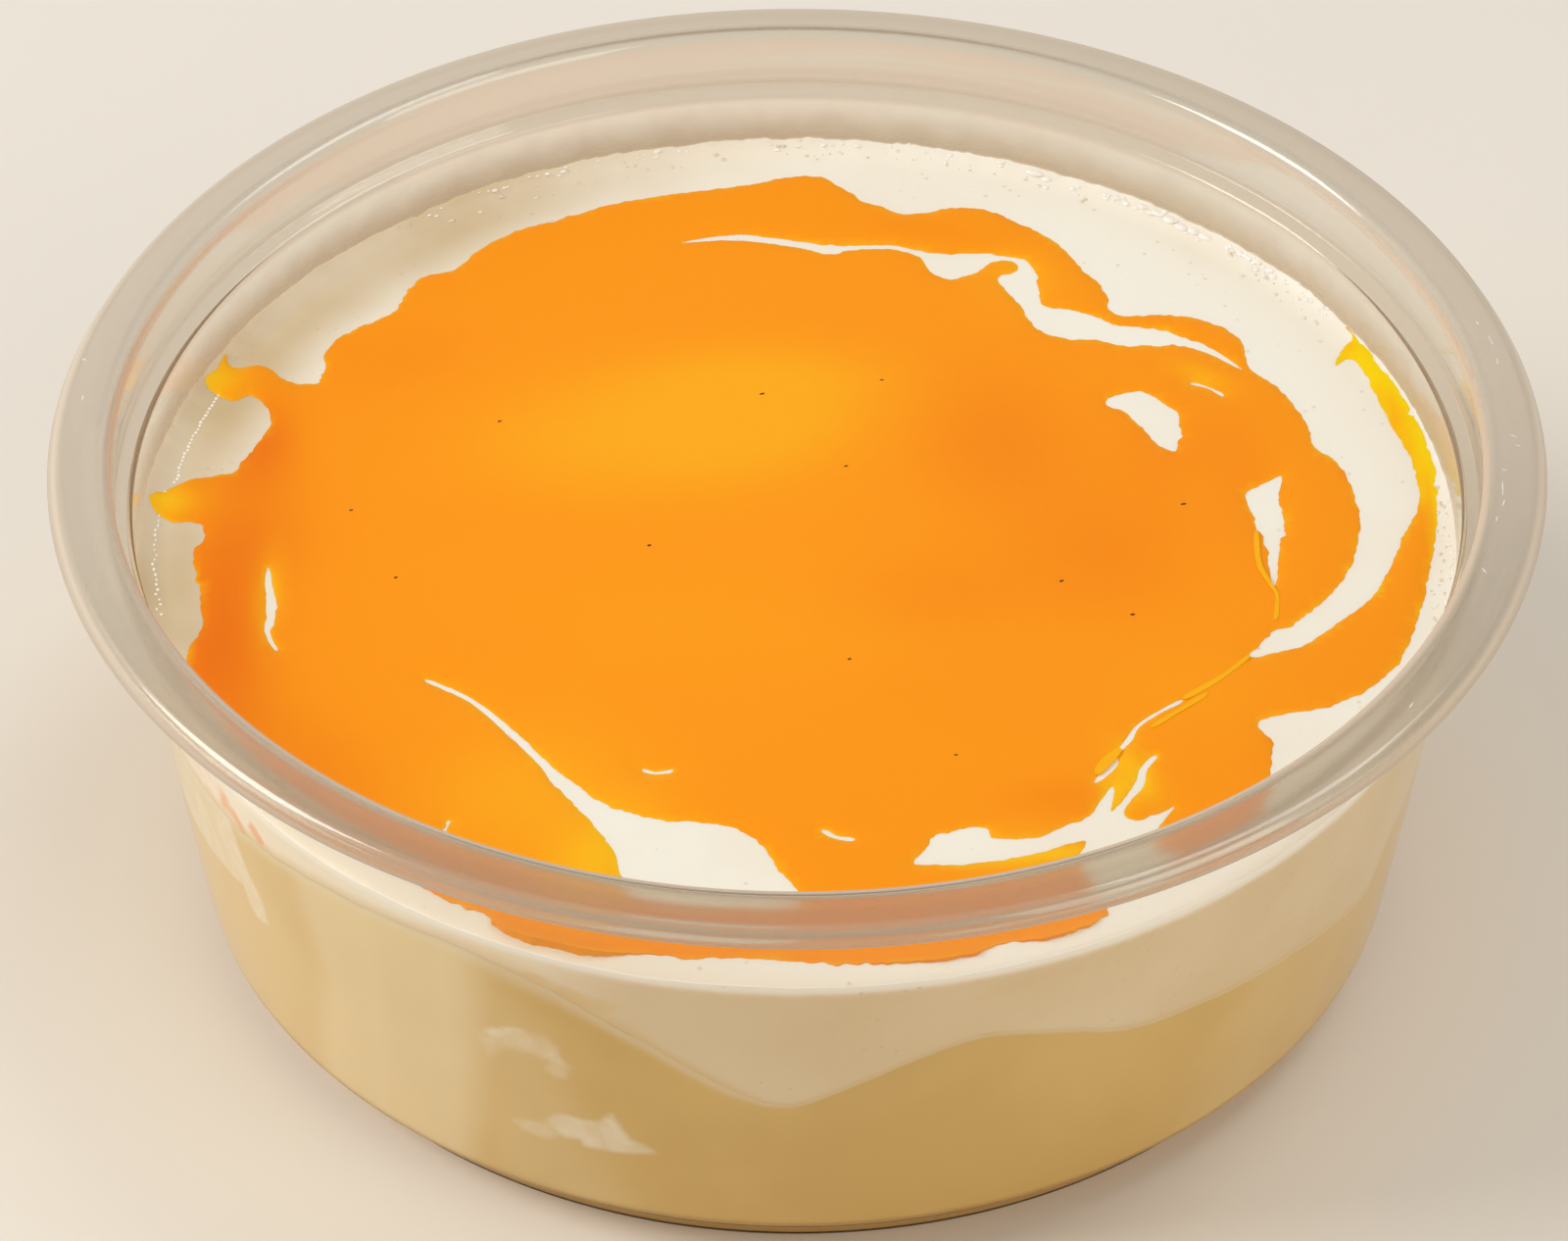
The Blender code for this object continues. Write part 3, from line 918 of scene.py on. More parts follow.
# Shoreline of the sauce from the left notch, clockwise seen from above, in millimetres.
LEFT_SHORE: tuple[Point, ...] = (
    (-47.0, 0.8), (-49.5, 1.4), (-51.6, 3.6), (-50.2, 5.2), (-48.5, 6.6), (-45.2, 7.5),
    (-44.2, 9.5), (-43.0, 12.0), (-42.4, 13.8), (-42.8, 15.8), (-44.2, 17.6), (-45.7, 16.9),
    (-48.2, 19.0), (-47.2, 20.6), (-46.7, 22.4), (-46.0, 21.2), (-43.5, 21.5), (-41.5, 19.6),
    (-40.0, 19.1), (-38.7, 19.4),
)
BACK_SHORE: tuple[Point, ...] = (
    (-38.2, 24.0), (-36.2, 26.4), (-33.2, 28.6), (-32.3, 31.0), (-31.2, 33.2), (-28.2, 34.6),
    (-26.5, 37.2), (-23.0, 40.1), (-20.0, 41.4), (-15.0, 43.8), (-10.0, 45.1), (-4.0, 46.4),
    (-1.0, 47.4), (1.8, 47.6), (3.5, 46.3), (4.7, 45.1), (5.5, 44.1), (7.3, 43.3), (8.6, 42.3),
    (11.0, 42.5), (13.0, 43.1), (16.2, 42.7), (18.5, 41.0), (21.0, 39.0), (22.8, 36.5),
    (23.5, 34.8), (25.0, 32.6), (25.7, 30.5), (25.7, 29.1), (26.8, 28.3), (31.5, 28.2),
    (34.5, 27.0), (36.3, 25.0), (36.6, 22.8), (37.0, 21.0), (39.0, 18.7), (40.5, 15.5),
    (41.3, 12.8), (41.5, 10.9), (43.0, 9.3), (44.0, 6.5),
)
CRESCENT_SHORE: tuple[Point, ...] = (
    (44.6, 2.0), (44.3, -1.0), (43.2, -5.0), (41.0, -8.6), (38.6, -11.3), (37.0, -12.2),
    (35.8, -14.0), (35.0, -15.2), (36.5, -14.9), (39.3, -13.8), (42.0, -11.2), (44.8, -8.2),
    (46.6, -4.4), (47.8, -0.8), (49.4, 3.4), (49.5, 6.2), (49.0, 10.0), (47.8, 14.0),
    (46.5, 19.2), (45.5, 22.0), (44.8, 22.3), (43.9, 21.6), (44.6, 23.6), (46.2, 25.0),
    (47.3, 27.0), (48.6, 21.5),
)
RIGHT_SHORE: tuple[Point, ...] = (
    (50.2, 15.0), (51.0, 9.0), (51.0, 4.0), (50.5, 0.0), (49.8, -4.0), (48.8, -9.0),
    (46.9, -15.0), (45.0, -18.0), (42.7, -20.0), (40.5, -21.3), (36.5, -22.3), (35.2, -23.3),
    (36.2, -25.2), (36.0, -27.5), (35.6, -30.2), (34.5, -34.0), (31.0, -37.5), (28.4, -38.2),
    (26.6, -37.0), (27.0, -35.2), (28.4, -32.8), (27.3, -33.5), (25.5, -34.3), (24.6, -33.6),
    (25.2, -32.0), (26.2, -30.4), (26.5, -28.6), (27.3, -26.9), (26.1, -28.2), (25.4, -30.4),
    (24.2, -32.6),
)
FRONT_SHORE: tuple[Point, ...] = (
    (23.6, -33.2), (23.9, -30.5), (22.8, -32.2), (22.0, -33.8), (20.0, -35.0), (18.0, -36.2),
    (14.6, -36.3), (14.3, -35.3), (13.2, -35.0), (11.8, -35.5), (10.0, -36.4), (9.8, -37.2),
    (8.7, -39.2), (12.0, -39.3), (15.0, -38.8), (18.0, -38.0), (20.5, -37.0), (21.6, -36.7),
    (21.0, -38.8), (22.0, -41.5), (22.8, -44.3), (21.0, -46.0), (18.5, -47.2), (15.0, -47.8),
    (13.0, -48.9), (10.0, -49.6), (5.0, -50.0), (0.0, -49.8), (-5.0, -49.3), (-8.0, -49.4),
    (-11.0, -48.9), (-15.0, -48.9), (-18.0, -48.0), (-20.0, -47.3), (-21.5, -46.5),
    (-22.5, -45.5), (-23.0, -44.4), (-24.5, -43.9), (-27.5, -41.8), (-31.0, -38.8),
    (-36.0, -34.0), (-40.0, -29.0), (-43.5, -23.5), (-45.5, -19.5), (-47.0, -17.0),
    (-47.1, -14.0), (-46.4, -12.6), (-46.3, -11.0), (-46.8, -7.0), (-47.5, -3.0),
)
SHORELINE = LEFT_SHORE + BACK_SHORE + CRESCENT_SHORE + RIGHT_SHORE + FRONT_SHORE

# Places where the cream shows through the sauce, in millimetres.
FRONT_STREAK: tuple[Point, ...] = (
    (-28.7, -18.0), (-25.0, -20.2), (-21.0, -24.8), (-19.5, -27.0), (-17.0, -30.0),
    (-15.0, -32.0), (-12.0, -33.7), (-10.0, -34.3), (-7.0, -34.6), (-5.0, -35.1), (-3.6, -36.0),
    (-2.4, -37.6), (-1.4, -40.0), (0.0, -42.2), (0.2, -43.4), (-4.0, -43.9), (-9.0, -43.6),
    (-12.4, -42.3), (-13.2, -40.4), (-13.7, -38.0), (-15.0, -35.3), (-16.5, -33.0), (-18.5, -30.0),
    (-20.0, -27.4), (-21.8, -24.9), (-25.1, -20.7),
)
BACK_STREAK: tuple[Point, ...] = (
    (-9.5, 38.3), (-5.0, 39.4), (-2.0, 38.9), (3.0, 37.9), (8.0, 37.9), (9.5, 37.4),
    (12.0, 36.7), (15.0, 36.8), (16.8, 36.5), (18.0, 36.2), (18.9, 35.9), (19.5, 35.1),
    (19.9, 33.8), (20.0, 31.5), (20.2, 30.0), (20.8, 29.4), (22.0, 29.2), (24.2, 28.3),
    (26.2, 27.0), (28.5, 26.6), (31.0, 25.7), (33.5, 24.2), (35.3, 22.3), (36.2, 21.0),
    (33.8, 23.0), (32.0, 24.0), (30.0, 24.2), (26.5, 24.2), (24.5, 25.0), (22.0, 25.2),
    (20.3, 25.9), (19.2, 27.5), (18.2, 30.0), (17.0, 32.2), (16.7, 33.4), (17.9, 34.0),
    (18.4, 34.8), (18.0, 35.6), (17.1, 35.8), (16.2, 35.4), (15.0, 34.2), (14.0, 33.6),
    (12.6, 33.2), (11.2, 34.0), (10.8, 35.2), (10.0, 36.4), (8.0, 37.3), (4.5, 37.2),
    (3.0, 36.6), (1.0, 37.3), (-3.0, 38.3), (-6.0, 38.6),
)
HALF_MOON: tuple[Point, ...] = (
    (25.0, 16.6), (26.5, 17.8), (28.0, 18.1), (29.5, 16.7), (30.7, 15.3), (30.9, 13.0),
    (30.7, 11.3), (30.2, 10.3), (28.8, 11.6), (27.7, 13.6), (26.5, 15.4),
)
RIGHT_SLIVER: tuple[Point, ...] = (
    (38.7, 7.1), (38.4, 5.0), (38.4, 3.0), (38.6, 0.6), (38.0, -2.0), (37.8, -4.0),
    (37.4, -6.6), (37.1, -4.5), (37.0, -2.0), (36.8, -0.8), (36.4, 0.5), (35.9, 3.0),
    (35.7, 4.6), (36.5, 5.6), (38.0, 6.7),
)
LEFT_SLIVER: tuple[Point, ...] = (
    (-41.5, -4.4), (-41.0, -7.0), (-40.6, -9.0), (-40.7, -11.0), (-40.9, -12.5),
    (-40.3, -14.5), (-41.3, -12.4), (-41.4, -10.0), (-41.5, -8.0), (-41.7, -6.0),
)
GAPS = (FRONT_STREAK, BACK_STREAK, HALF_MOON, RIGHT_SLIVER, LEFT_SLIVER)

# Long thin tears in the sauce: a line in millimetres and its width along it.
TEARS: tuple[tuple[tuple[Point, ...], float], ...] = (
    (((29.6, -20.4), (27.5, -22.0), (26.0, -23.5), (25.3, -25.0), (24.3, -26.7),
      (24.0, -28.0), (22.5, -30.0)), 0.6),
    (((-11.8, -28.5), (-10.8, -28.9), (-9.4, -28.6)), 0.26),
    (((1.8, -35.4), (2.9, -36.2), (4.3, -36.5)), 0.34),
    (((32.0, 19.2), (33.4, 18.6), (34.6, 17.5)), 0.24),
    (((-26.6, -35.8), (-26.2, -34.3)), 0.24),
)
# Threads where the sauce is only a yellow film.
THREADS: tuple[tuple[tuple[Point, ...], float], ...] = (
    (((35.0, -15.2), (33.0, -17.5), (31.0, -19.3), (29.6, -20.4)), 0.55),
    (((31.5, -19.8), (29.0, -22.0), (27.0, -23.8)), 0.4),
    (((36.3, 0.0), (36.3, -4.0), (37.0, -6.4), (37.5, -8.0), (37.2, -11.0)), 0.4),
    (((24.6, -26.2), (23.4, -27.8), (22.6, -29.2)), 0.9),
)


@dataclass
class SaucePool:
    """The pool of sauce that lies on the cream."""

    layers: Layers
    level: float = 33.0 * MM
    depth: float = 0.8 * MM          # how far it reaches down into the cream
    lift: float = 0.01 * MM          # how far its edge stands above the cream
    swell: float = 0.16 * MM         # how far it swells above its edge
    edge: float = 0.5 * MM           # width of its rounded edge
    step: float = 0.22               # length of the shoreline's pieces, in millimetres
    lattice: float = 0.9 * MM        # grid of the top
    ragged: float = 0.24             # depth of the shoreline's notches, in millimetres
    nearby: float = 1.2              # how far another stretch still tames them, in millimetres
    spare: float = 0.2               # left between stretches, in millimetres
    corner: float = 0.9              # a turn, in radians, that tames them too
    corner_room: float = 0.25
    look: int = 4                    # pieces ahead and behind by which a turn is judged
    stretch: int = 8                 # pieces that count as the same stretch
    back_turn: float = math.radians(105)
    handle_share: float = 0.34       # of the span between two points
    short_handle: float = 0.35       # where the line turns back, in millimetres
    free: float = 51.1               # radius out to which the outlines are left alone
    room: float = 0.72               # and how far beyond it they can come, in millimetres
    rim_inset: float = 0.06 * MM
    roll: float = 0.06 * MM          # height of the long waves of its top
    thread_top: float = 0.2 * MM
    thread_foot: float = -0.12 * MM
    thread_film: float = 0.6         # how yellow the threads are
    light: tuple[Spot, ...] = (
        Spot(-10, 13, 16, 9, 10, 0.9), Spot(-2, 20, 10, 5, 0, 0.4), Spot(-6, -12, 22, 12, 0, 0.3),
        Spot(30, -20, 8, 6, 0, 0.3), Spot(-20, -32, 9, 9, 0, 0.7), Spot(-3, 14, 6, 5, 0, 0.35),
        Spot(19, 33, 5, 5, -40, 0.5), Spot(47, 4, 3, 12, 0, 0.4), Spot(17, -38, 6, 3, 5, 0.7),
    )
    deep: tuple[Spot, ...] = (
        Spot(16, 12, 8, 11, 0, 0.7), Spot(25, -3, 8, 9, 0, 0.6), Spot(10, -8, 9, 6, 0, 0.5),
        Spot(-32, 22, 8, 5, 30, 0.4), Spot(15, -20, 12, 5, 0, 0.25), Spot(30, 12, 5, 8, 0, 0.5),
        Spot(20, -32, 6, 3, 0, 0.5), Spot(10, 40, 8, 2, -10, 0.4), Spot(36, 8, 3, 10, 0, 0.4),
    )
    # Painted shade: the rim's shadow darkens the sauce towards the left wall.
    red: tuple[Spot, ...] = (
        Spot(-45, -14, 5.0, 14, 0, 0.7), Spot(-43, 12, 3.4, 6, 0, 0.6), Spot(-42, 1, 6, 8, 0, 0.3),
        Spot(-36, -28, 5, 8, 40, 0.3),
    )
    film: tuple[Spot, ...] = (
        Spot(-48.3, 19.6, 3.0, 2.6, 0, 1.1), Spot(-50.4, 3.8, 2.4, 1.8, 0, 1.0),
        Spot(47.9, 23, 2.6, 6.0, 0, 1.5), Spot(50.4, 14, 1.6, 7, 0, 1.2),
        Spot(51.4, 4, 1.0, 9, 0, 1.0), Spot(-14.6, -38.5, 3.6, 5.5, -25, 0.75),
        Spot(19, -38.2, 6, 0.8, 8, 0.8), Spot(43.9, 22, 1.6, 1.4, 0, 1.0),
        Spot(24.0, -31.5, 1.2, 2.4, 0, 0.8), Spot(-41.2, -8, 1.1, 5, 0, 0.5),
        Spot(25.6, -29, 1.4, 3.5, 20, 0.7), Spot(33, 20, 2.6, 1.2, -35, 0.4),
    )

    def smooth(self, outline: Sequence[Point]) -> list[Vector]:
        """A smooth closed line through an outline, in short even pieces.

        Args:
            outline: its points in millimetres.

        Returns:
            The line's points in millimetres.
        """
        points = [Vector((x, y, 0)) for x, y in outline]
        line: list[Vector] = []
        for index, here in enumerate(points):
            after, before = points[(index + 1) % len(points)], points[index - 1]
            later = points[(index + 2) % len(points)]
            span = (after - here).length
            leave = self.handle(before, here, after, span)
            arrive = self.handle(later, after, here, span)
            count = max(2, round(span / self.step) + 1)
            line += interpolate_bezier(here, here + leave, after + arrive, after, count)[:-1]
        return line

    def roughen(self, lines: list[list[Vector]]) -> list[list[Vector]]:
        """Gives the lines fine notches, shallower where two stretches lie close together.

        Args:
            lines: closed lines in millimetres.

        Returns:
            The notched lines.
        """
        tree = KDTree(sum(len(line) for line in lines))
        owners = [(number, index) for number, line in enumerate(lines) for index in range(len(line))]
        for key, (number, index) in enumerate(owners):
            tree.insert(lines[number][index], key)
        tree.balance()
        notched = []
        for number, line in enumerate(lines):
            count = len(line)
            shaken = []
            for index, here in enumerate(line):
                ahead, behind = line[(index + self.look) % count], line[index - self.look]
                room = self.nearby
                for _, key, gap in tree.find_range(here, self.nearby):
                    owner, other = owners[key]
                    apart = abs(other - index)
                    if owner != number or min(apart, count - apart) > self.stretch:
                        room = min(room, gap)
                if (ahead - here).angle(here - behind) > self.corner:
                    room = min(room, self.corner_room)
                side = self.across(line[index - 1].xy, line[(index + 1) % count].xy).to_3d()
                rough = noise.noise(here * 0.9) + 0.9 * noise.noise(here * 1.9 + Vector((9, 4, 0)))
                where = 0.55 + 1.1 * max(0.0, noise.noise(here * 0.12 + Vector((3, 3, 7))))
                deep = self.ragged * max(0.0, room - self.spare)
                shaken.append(here + side * rough * where * deep)
            notched.append(shaken)
        return notched

    def handle(self, before: Vector, here: Vector, after: Vector, span: float) -> Vector:
        """The handle at a point towards the one after it, short where the line turns back."""
        long = self.handle_share * span
        sharp = (here - before).angle(after - here) > self.back_turn
        return (after - before).normalized() * (min(long, self.short_handle) if sharp else long)

    @staticmethod
    def across(first: Vector, last: Vector) -> Vector:
        """A step of length 1 to the left of the way between two places on the plane."""
        way = (last - first).normalized()
        return Vector((-way.y, way.x))

    def ribbon(self, line: Sequence[Point], width: float) -> list[Point]:
        """The outline of a thin tear, pointed at both ends.

        Args:
            line: the tear's points in millimetres.
            width: about its widest, in millimetres.

        Returns:
            The outline's points.
        """
        points = [Vector(point) for point in line]
        left, right = [], []
        for before, here, after in zip(points, points[1:], points[2:]):
            side = self.across(before, after) * width / 2 * (0.9 + 0.9 * noise.noise(here.to_3d()))
            left.append(here + side)
            right.append(here - side)
        if not left:
            middle, side = (points[0] + points[1]) / 2, self.across(*points) * width / 2
            left, right = [middle + side], [middle - side]
        return [tuple(p) for p in [points[0], *left, points[-1], *reversed(right)]]

    def outlines(self) -> list[list[Vector]]:
        """The shoreline and every gap, smoothed, and kept inside the tub's wall."""
        tears = [self.ribbon(line, width) for line, width in TEARS]
        lines = self.roughen([self.smooth(outline) for outline in (SHORELINE, *GAPS, *tears)])
        return [[self.held(point) for point in line] for line in lines]

    def held(self, point: Vector) -> Vector:
        """A point in millimetres, eased inwards where it comes close to the wall."""
        beyond = point.length - self.free
        if beyond <= 0:
            return point
        return point.normalized() * (self.free + self.room * (1 - math.exp(-beyond / self.room)))

    def build(self) -> Object:
        """The pool: a filled outline with a rounded, ragged edge."""
        mesh = bmesh.new()
        for outline in self.outlines():
            closed_line(mesh, outline)
        shore = KDTree(len(mesh.verts))
        for index, vert in enumerate(mesh.verts):
            shore.insert(vert.co, index)
        shore.balance()
        bmesh.ops.triangle_fill(mesh, use_beauty=True, edges=mesh.edges, normal=(0, 0, 1))
        bmesh.ops.inset_region(mesh, faces=mesh.faces, thickness=self.rim_inset, use_boundary=True,
                               use_even_offset=True, depth=0.0)
        self.cut_lattice(mesh)
        top = doubled(mesh)
        for vert in mesh.verts:
            if vert in top:
                flat = vert.co.copy()
                gap = shore.find(flat)[2]
                crown = 1 - math.exp(-gap / self.edge)
                roll = self.roll * noise.noise(flat * 60) * swell(gap, 0.0, 4 * MM)
                vert.co.z = self.layers.top(flat.length) + self.lift + self.swell * crown + roll
            else:
                vert.co.z = self.level - self.depth
        bmesh.ops.recalc_face_normals(mesh, faces=mesh.faces)
        self.paint(mesh, shore)
        return piece("sauce_pool", mesh, FruitSauce().build(), ["sauce"])

    def build_threads(self) -> Object:
        """Thin yellow threads that the sauce has drawn across the gaps."""
        mesh = bmesh.new()
        yellow = mesh.verts.layers.float.new("film")
        for line, width in THREADS:
            edges = closed_line(mesh, self.smooth(self.ribbon(line, width)))
            bmesh.ops.contextual_create(mesh, geom=edges)
        bmesh.ops.triangulate(mesh, faces=mesh.faces)
        top = doubled(mesh)
        for vert in mesh.verts:
            rise = self.thread_top if vert in top else self.thread_foot
            vert.co.z = self.layers.top(vert.co.to_2d().length) + rise
            vert[yellow] = self.thread_film
        bmesh.ops.recalc_face_normals(mesh, faces=mesh.faces)
        return piece("sauce_threads", mesh, FruitSauce().build())

    def cut_lattice(self, mesh: BMesh) -> None:
        """Cuts the pool into a grid, so that it can swell and carry colour."""
        lines = int(53 * MM / self.lattice)
        for way in (Vector((1, 0.03, 0)).normalized(), Vector((-0.03, 1, 0)).normalized()):
            for number in range(-lines, lines + 1):
                geom = mesh.verts[:] + mesh.edges[:] + mesh.faces[:]
                bmesh.ops.bisect_plane(mesh, geom=geom, dist=1e-6, plane_no=way,
                                       plane_co=way * number * self.lattice)

    def paint(self, mesh: BMesh, shore: KDTree) -> None:
        """Writes the depth of colour at each point.

        Args:
            mesh: the pool.
            shore: the points of the outlines.
        """
        painted = {name: mesh.verts.layers.float.new(name) for name in ("light", "deep", "red", "film")}
        for vert in mesh.verts:
            x, y = vert.co.x / MM, vert.co.y / MM
            for name, layer in painted.items():
                vert[layer] = min(1.0, sum(spot.at(x, y) for spot in getattr(self, name)))
            gap = shore.find(Vector((vert.co.x, vert.co.y, 0)))[2]
            thin = 0.45 * (1 - swell(gap, 0.0, 0.45 * MM))
            vert[painted["film"]] = min(1.0, vert[painted["film"]] + thin * (
                0.5 + noise.noise(Vector((x, y, 0)) * 0.35)))


# Froth, specks and scratches -----------------------------------------------------------


@dataclass(frozen=True)
class Wet:
    """A small glossy thing: one colour with a little drift, and a sharp shine."""

    name: str
    colour: Colour
    other: Colour
    roughness: float = 0.15

    def build(self) -> Material:
        """The finished material."""
        g = Graph(self.name)
        drift = g.grain(900, 2.0).rise(0.35, 0.65)
        colour = g.blend(drift, self.colour, self.other)
        return g.show(g.principled(
            Base_Color=colour, Roughness=self.roughness, IOR=1.4,
            Normal=g.bump(g.grain(2600, 2.0), 0.02 * MM, 0.3)))


def bead(mesh: BMesh, place: Vector, half: tuple[float, float, float], turn: float = 0.0) -> None:
    """Adds a small round bead.

    Args:
        mesh: takes it.
        place: its middle.
        half: half its length, width and height, in metres.
        turn: about Z, in degrees.
    """
    pose = (Matrix.Translation(place) @ Matrix.Rotation(math.radians(turn), 4, "Z")
            @ Matrix.Diagonal((*half, 1.0)))
    bmesh.ops.create_icosphere(mesh, subdivisions=2, radius=1.0, matrix=pose)


@dataclass(frozen=True)
class FrothRow:
    """A row of bubbles along the wall: azimuths in degrees, the rest in millimetres."""

    start: float
    end: float
    count: int
    radius: float
    spread: float
    size: float
    even: bool = False


@dataclass
class Froth:
    """Small beads of cream and burst bubbles where the cream meets the wall."""

    layers: Layers
    beads: tuple[FrothRow, ...] = (
        FrothRow(157, 173, 30, 50.0, 0.05, 0.13, True), FrothRow(174, 192, 26, 50.6, 0.1, 0.12, True),
        FrothRow(50.0, 60.0, 16, 51.4, 0.2, 0.2), FrothRow(37.0, 46.0, 30, 51.4, 0.25, 0.18),
        FrothRow(31.0, 37.0, 14, 51.5, 0.3, 0.14), FrothRow(-20, 2, 40, 51.5, 0.3, 0.11),
        FrothRow(70, 128, 60, 51.5, 0.25, 0.14),
    )
    bubbles: tuple[FrothRow, ...] = (
        FrothRow(60, 100, 34, 50.7, 0.3, 0.12), FrothRow(96, 128, 18, 50.1, 0.45, 0.13),
        FrothRow(32, 46, 20, 50.7, 0.4, 0.12),
        FrothRow(-22, 6, 52, 51.0, 0.3, 0.12), FrothRow(-40, -24, 14, 50.4, 0.3, 0.12),
    )
    # Smooth wet lumps, painted white in part as glints: azimuth, radius, length along the wall and width.
    lumps: tuple[tuple[float, float, float, float], ...] = (
        (67.0, 51.5, 1.7, 0.75), (65.7, 51.3, 0.9, 0.7), (65.4, 50.5, 0.6, 0.5), (62.9, 51.1, 0.5, 0.4),
        (58.4, 51.5, 0.8, 0.5), (57.3, 51.3, 0.7, 0.6), (55.6, 51.5, 0.9, 0.5), (54.0, 51.5, 1.5, 0.7),
        (52.6, 51.4, 1.3, 0.9), (51.2, 51.3, 1.4, 0.8), (49.8, 51.4, 1.2, 0.8), (48.4, 51.4, 1.6, 0.7),
        (48.9, 50.9, 0.5, 0.4), (45.6, 51.6, 0.8, 0.4), (43.8, 51.6, 1.0, 0.45), (75.6, 50.9, 0.4, 0.4),
    )

    def lay(self, rows: Sequence[FrothRow], lumps: bool = False) -> BMesh:
        """Lays beads on the cream's raised edge.

        Args:
            rows: the rows to lay.
            lumps: whether the wet lumps are laid too.

        Returns:
            The beads.
        """
        mesh = bmesh.new()
        for azimuth, radius, length, width in self.lumps if lumps else ():
            place = self.layers.perch(radius * MM, math.radians(azimuth))
            bead(mesh, place, (width / 2 * MM, length / 2 * MM, width * 0.25 * MM), azimuth)
        wall = self.layers.rim() / MM - 0.1
        for row in rows:
            for number in range(row.count):
                share = (number + 0.5) / row.count if row.even else random.random()
                azimuth = math.radians(row.start + (row.end - row.start) * share)
                radius = min(wall, row.radius + row.spread * random.gauss(0, 1))
                place = self.layers.perch(radius * MM, azimuth)
                scale = random.uniform(0.8, 1.2) if row.even else random.choice((0.6, 0.8, 1.0, 1.5))
                size = row.size * MM * scale
                long = size * random.uniform(1.0, 1.5)
                bead(mesh, place, (size, long, size * 0.55), math.degrees(azimuth))
        return mesh

    def build(self) -> None:
        """Both kinds."""
        # White cream. On the lumps the same white also stands in for glints, as a painted highlight.
        white_and_glint = Wet("froth_and_glint_white", tone(255, 254, 250), tone(250, 246, 238), 0.1)
        piece("cream_beads", self.lay(self.beads, lumps=True), white_and_glint.build())
        dull = Wet("froth_bubble", tone(240, 232, 216), tone(226, 214, 194), 0.2)
        piece("cream_bubbles", self.lay(self.bubbles), dull.build())


@dataclass
class Specks:
    """Dark fruit specks on the sauce: x, y, length and turn in millimetres and degrees."""

    layers: Layers
    marks: tuple[tuple[float, float, float, float], ...] = (
        (-2.8, 17.6, 0.42, 20), (6.9, 19.4, 0.4, -10), (3.9, 8.2, 0.24, 0), (30.7, 3.4, 0.5, 15),
        (20.7, -6.2, 0.34, 40), (26.1, -10.3, 0.3, 0), (-35.4, 2.6, 0.2, 0), (-31.5, -5.8, 0.2, 30),
        (-11.7, -1.8, 0.2, 0), (4.0, -15.7, 0.22, 60), (-24.0, 14.0, 0.16, 0), (12.0, -27.0, 0.18, 10),
    )

    def build(self) -> Object:
        """The specks, half sunk in the sauce."""
        mesh = bmesh.new()
        for x, y, length, turn in self.marks:
            place = Vector((x * MM, y * MM, self.layers.fill + 0.17 * MM))
            bead(mesh, place, (length / 2 * MM, 0.1 * MM, 0.07 * MM), turn)
            bead(mesh, place + Vector((0.12, 0.05, 0)) * MM, (0.09 * MM, 0.07 * MM, 0.06 * MM), turn)
        dark = Wet("fruit_speck", tone(110, 52, 14), tone(70, 34, 12), 0.4)
        return piece("fruit_specks", mesh, dark.build())


@dataclass
class Scratches:
    """Small raised nicks on the flange: azimuth, radius, length and turn from the tangent."""

    tub: Tub
    marks: tuple[tuple[float, float, float, float], ...] = (
        (-8.0, 55.0, 1.9, 4), (-9.8, 55.2, 0.9, -6), (-5.6, 55.0, 0.5, 80), (-1.0, 55.8, 0.9, 60),
        (-2.2, 56.1, 0.6, 75), (11.6, 56.2, 1.3, 3), (8.8, 56.0, 0.8, -8), (-18.6, 55.1, 0.8, 45),
        (14.0, 55.8, 0.5, 10), (-12.0, 54.9, 0.7, 0), (176.0, 56.2, 0.7, 5), (171.0, 57.0, 0.6, 70),
        (-36.0, 56.4, 0.8, 8),
    )
    fall: float = 0.5 / 3.8           # how far the flange drops for each step outwards

    def build(self) -> Object:
        """The nicks."""
        mesh = bmesh.new()
        for azimuth, radius, length, turn in self.marks:
            height = self.tub.ridge_height - self.fall * (radius * MM - self.tub.ridge_radius)
            place = polar(radius * MM, math.radians(azimuth), height)
            bead(mesh, place, (length / 2 * MM, 0.05 * MM, 0.03 * MM), azimuth + 90 + turn)
        pale = Wet("pale_nick", tone(250, 248, 244), tone(232, 226, 216), 0.25)
        return piece("rim_nicks", mesh, pale.build())


# Studio --------------------------------------------------------------------------------


@dataclass(frozen=True)
class Softbox:
    """A square soft light that points at the dessert."""

    name: str
    place: tuple[float, float, float]
    size: float
    power: float
    colour: Colour = (1.0, 1.0, 1.0)

    def build(self) -> None:
        """Hangs the light."""
        data = bpy.data.lights.new(self.name, "AREA")
        data.shape = "SQUARE"
        data.size = self.size
        data.energy = self.power
        data.color = self.colour
        lamp = placed(self.name, data)
        lamp.location = self.place
        towards = Vector((0, 0, 0.02)) - lamp.location
        lamp.rotation_euler = towards.to_track_quat("-Z", "Y").to_euler()


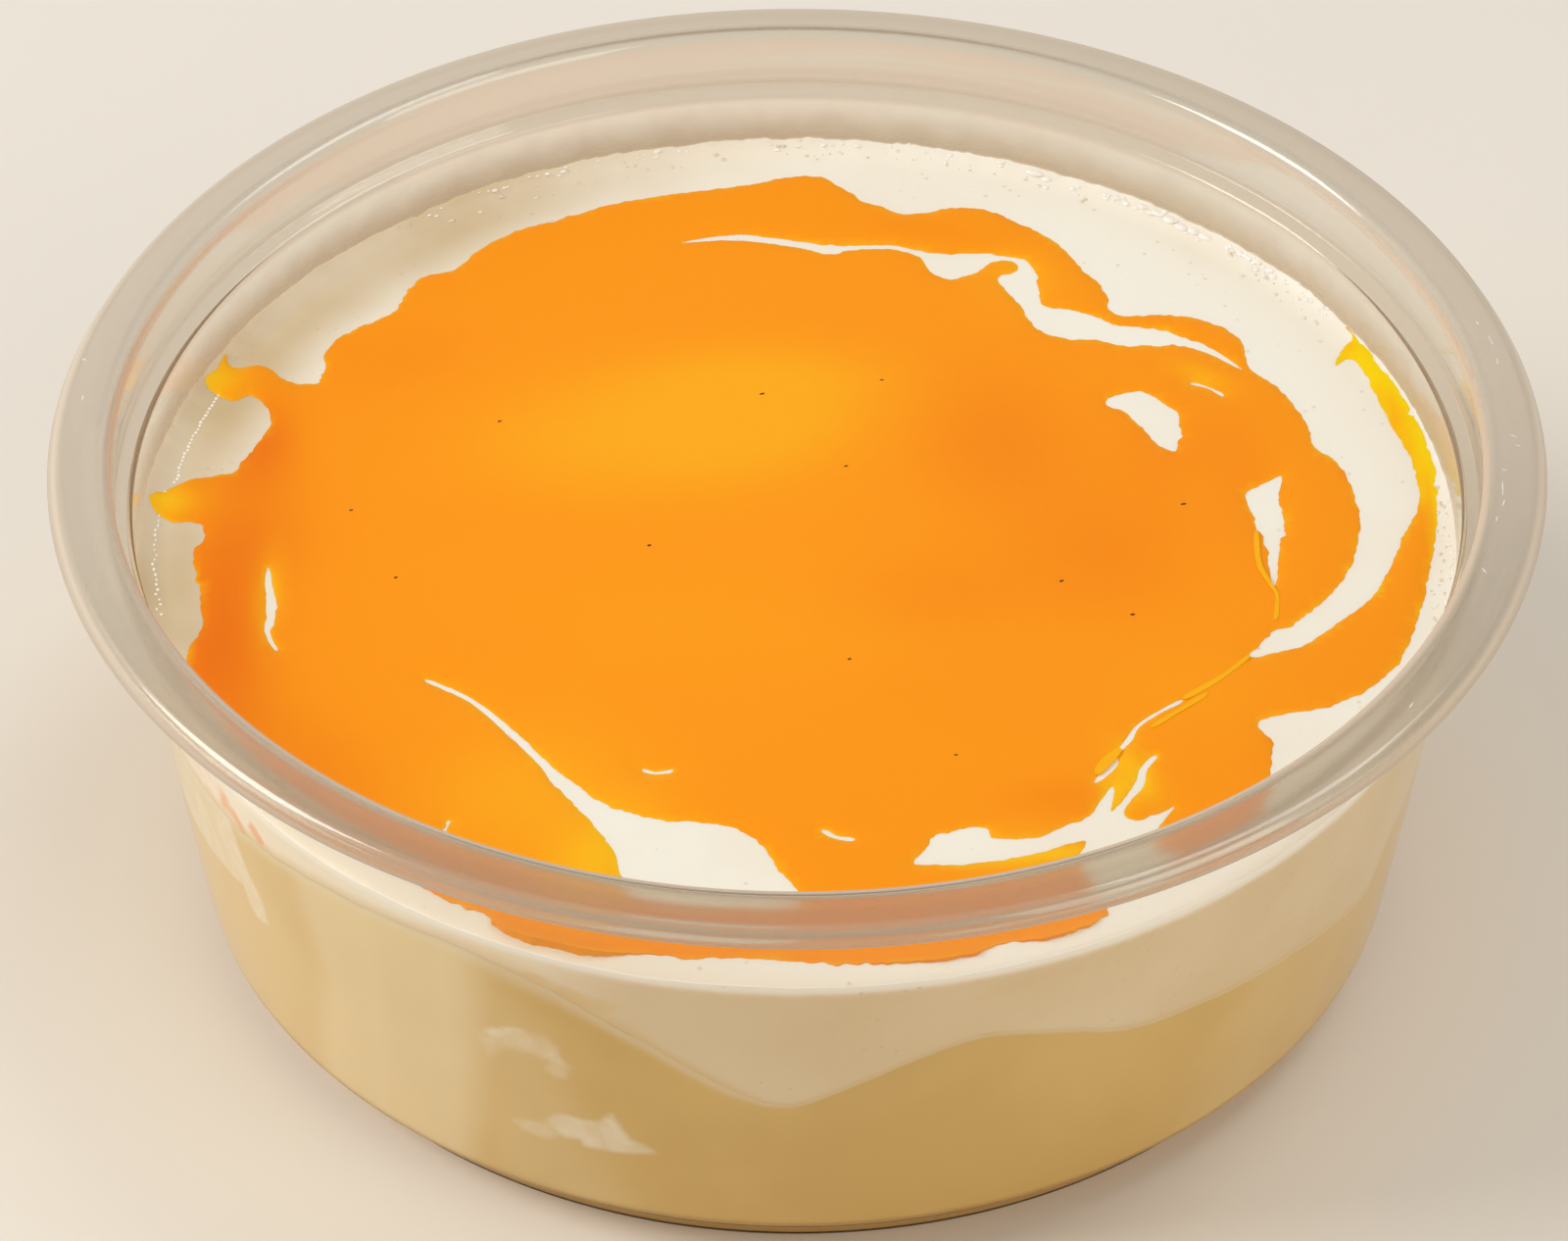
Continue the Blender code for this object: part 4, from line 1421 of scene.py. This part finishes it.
@dataclass
class Studio:
    """Floor, lights and camera."""

    tilt: float = 39.849              # how far the camera looks down, in degrees
    lens: float = 157.484             # in millimetres, on a film 36 mm wide
    place: tuple[float, float, float] = (-0.001019, -0.420701, 0.375081)
    floor: Colour = tone(236, 230, 220)
    fleck: Colour = (0.5, 0.48, 0.45)
    sky: float = 0.40
    sky_colour: Colour = (1.0, 0.985, 0.96)
    lights: tuple[Softbox, ...] = (
        Softbox("key", (-0.80, -0.02, 0.58), 0.5, 6.4, (1.0, 0.97, 0.93)),
        Softbox("fill", (0.72, -0.60, 0.42), 0.7, 3.2, (1.0, 0.91, 0.78)),
        Softbox("top", (0.45, 0.25, 0.9), 0.4, 1.9),
    )

    def build(self) -> None:
        """Sets up the whole studio."""
        self.build_floor()
        for light in self.lights:
            light.build()
        world = bpy.data.worlds.new("soft_sky")
        world.use_nodes = True
        sky = world.node_tree.nodes["Background"]
        sky.inputs["Color"].default_value = (*self.sky_colour, 1.0)
        sky.inputs["Strength"].default_value = self.sky
        scene = bpy.context.scene
        scene.world = world
        scene.view_settings.view_transform = "Standard"
        self.build_camera()

    def build_floor(self) -> None:
        """A plain pale floor."""
        mesh = bmesh.new()
        bmesh.ops.create_grid(mesh, x_segments=1, y_segments=1, size=3.0)
        g = Graph("pale_floor")
        colour = g.blend(g.grain(40) * 0.04, self.floor, self.fleck)
        material = g.show(g.principled(Base_Color=colour, Roughness=0.7))
        floor = placed("floor", mesh_data("floor", mesh, material))

    def build_camera(self) -> None:
        """The camera, level from side to side."""
        data = bpy.data.cameras.new("camera")
        data.lens, data.sensor_width = self.lens, 36.0
        data.clip_start, data.clip_end = 0.05, 20.0
        camera = placed("camera", data)
        camera.location = self.place
        camera.rotation_euler = (math.radians(90 - self.tilt), 0, 0)
        bpy.context.scene.camera = camera


def main() -> None:
    """Builds the studio and the dessert, piece by piece."""
    logging.basicConfig(level=logging.INFO, format="%(message)s")
    random.seed(4)
    Studio().build()
    tub = Tub()
    tub.build()
    layers = Layers(tub)
    layers.build_custard()
    layers.build_cream()
    pool = SaucePool(layers)
    pool.build()
    pool.build_threads()
    Froth(layers).build()
    Specks(layers).build()
    Scratches(tub).build()
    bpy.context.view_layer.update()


if __name__ == "__main__":
    main()
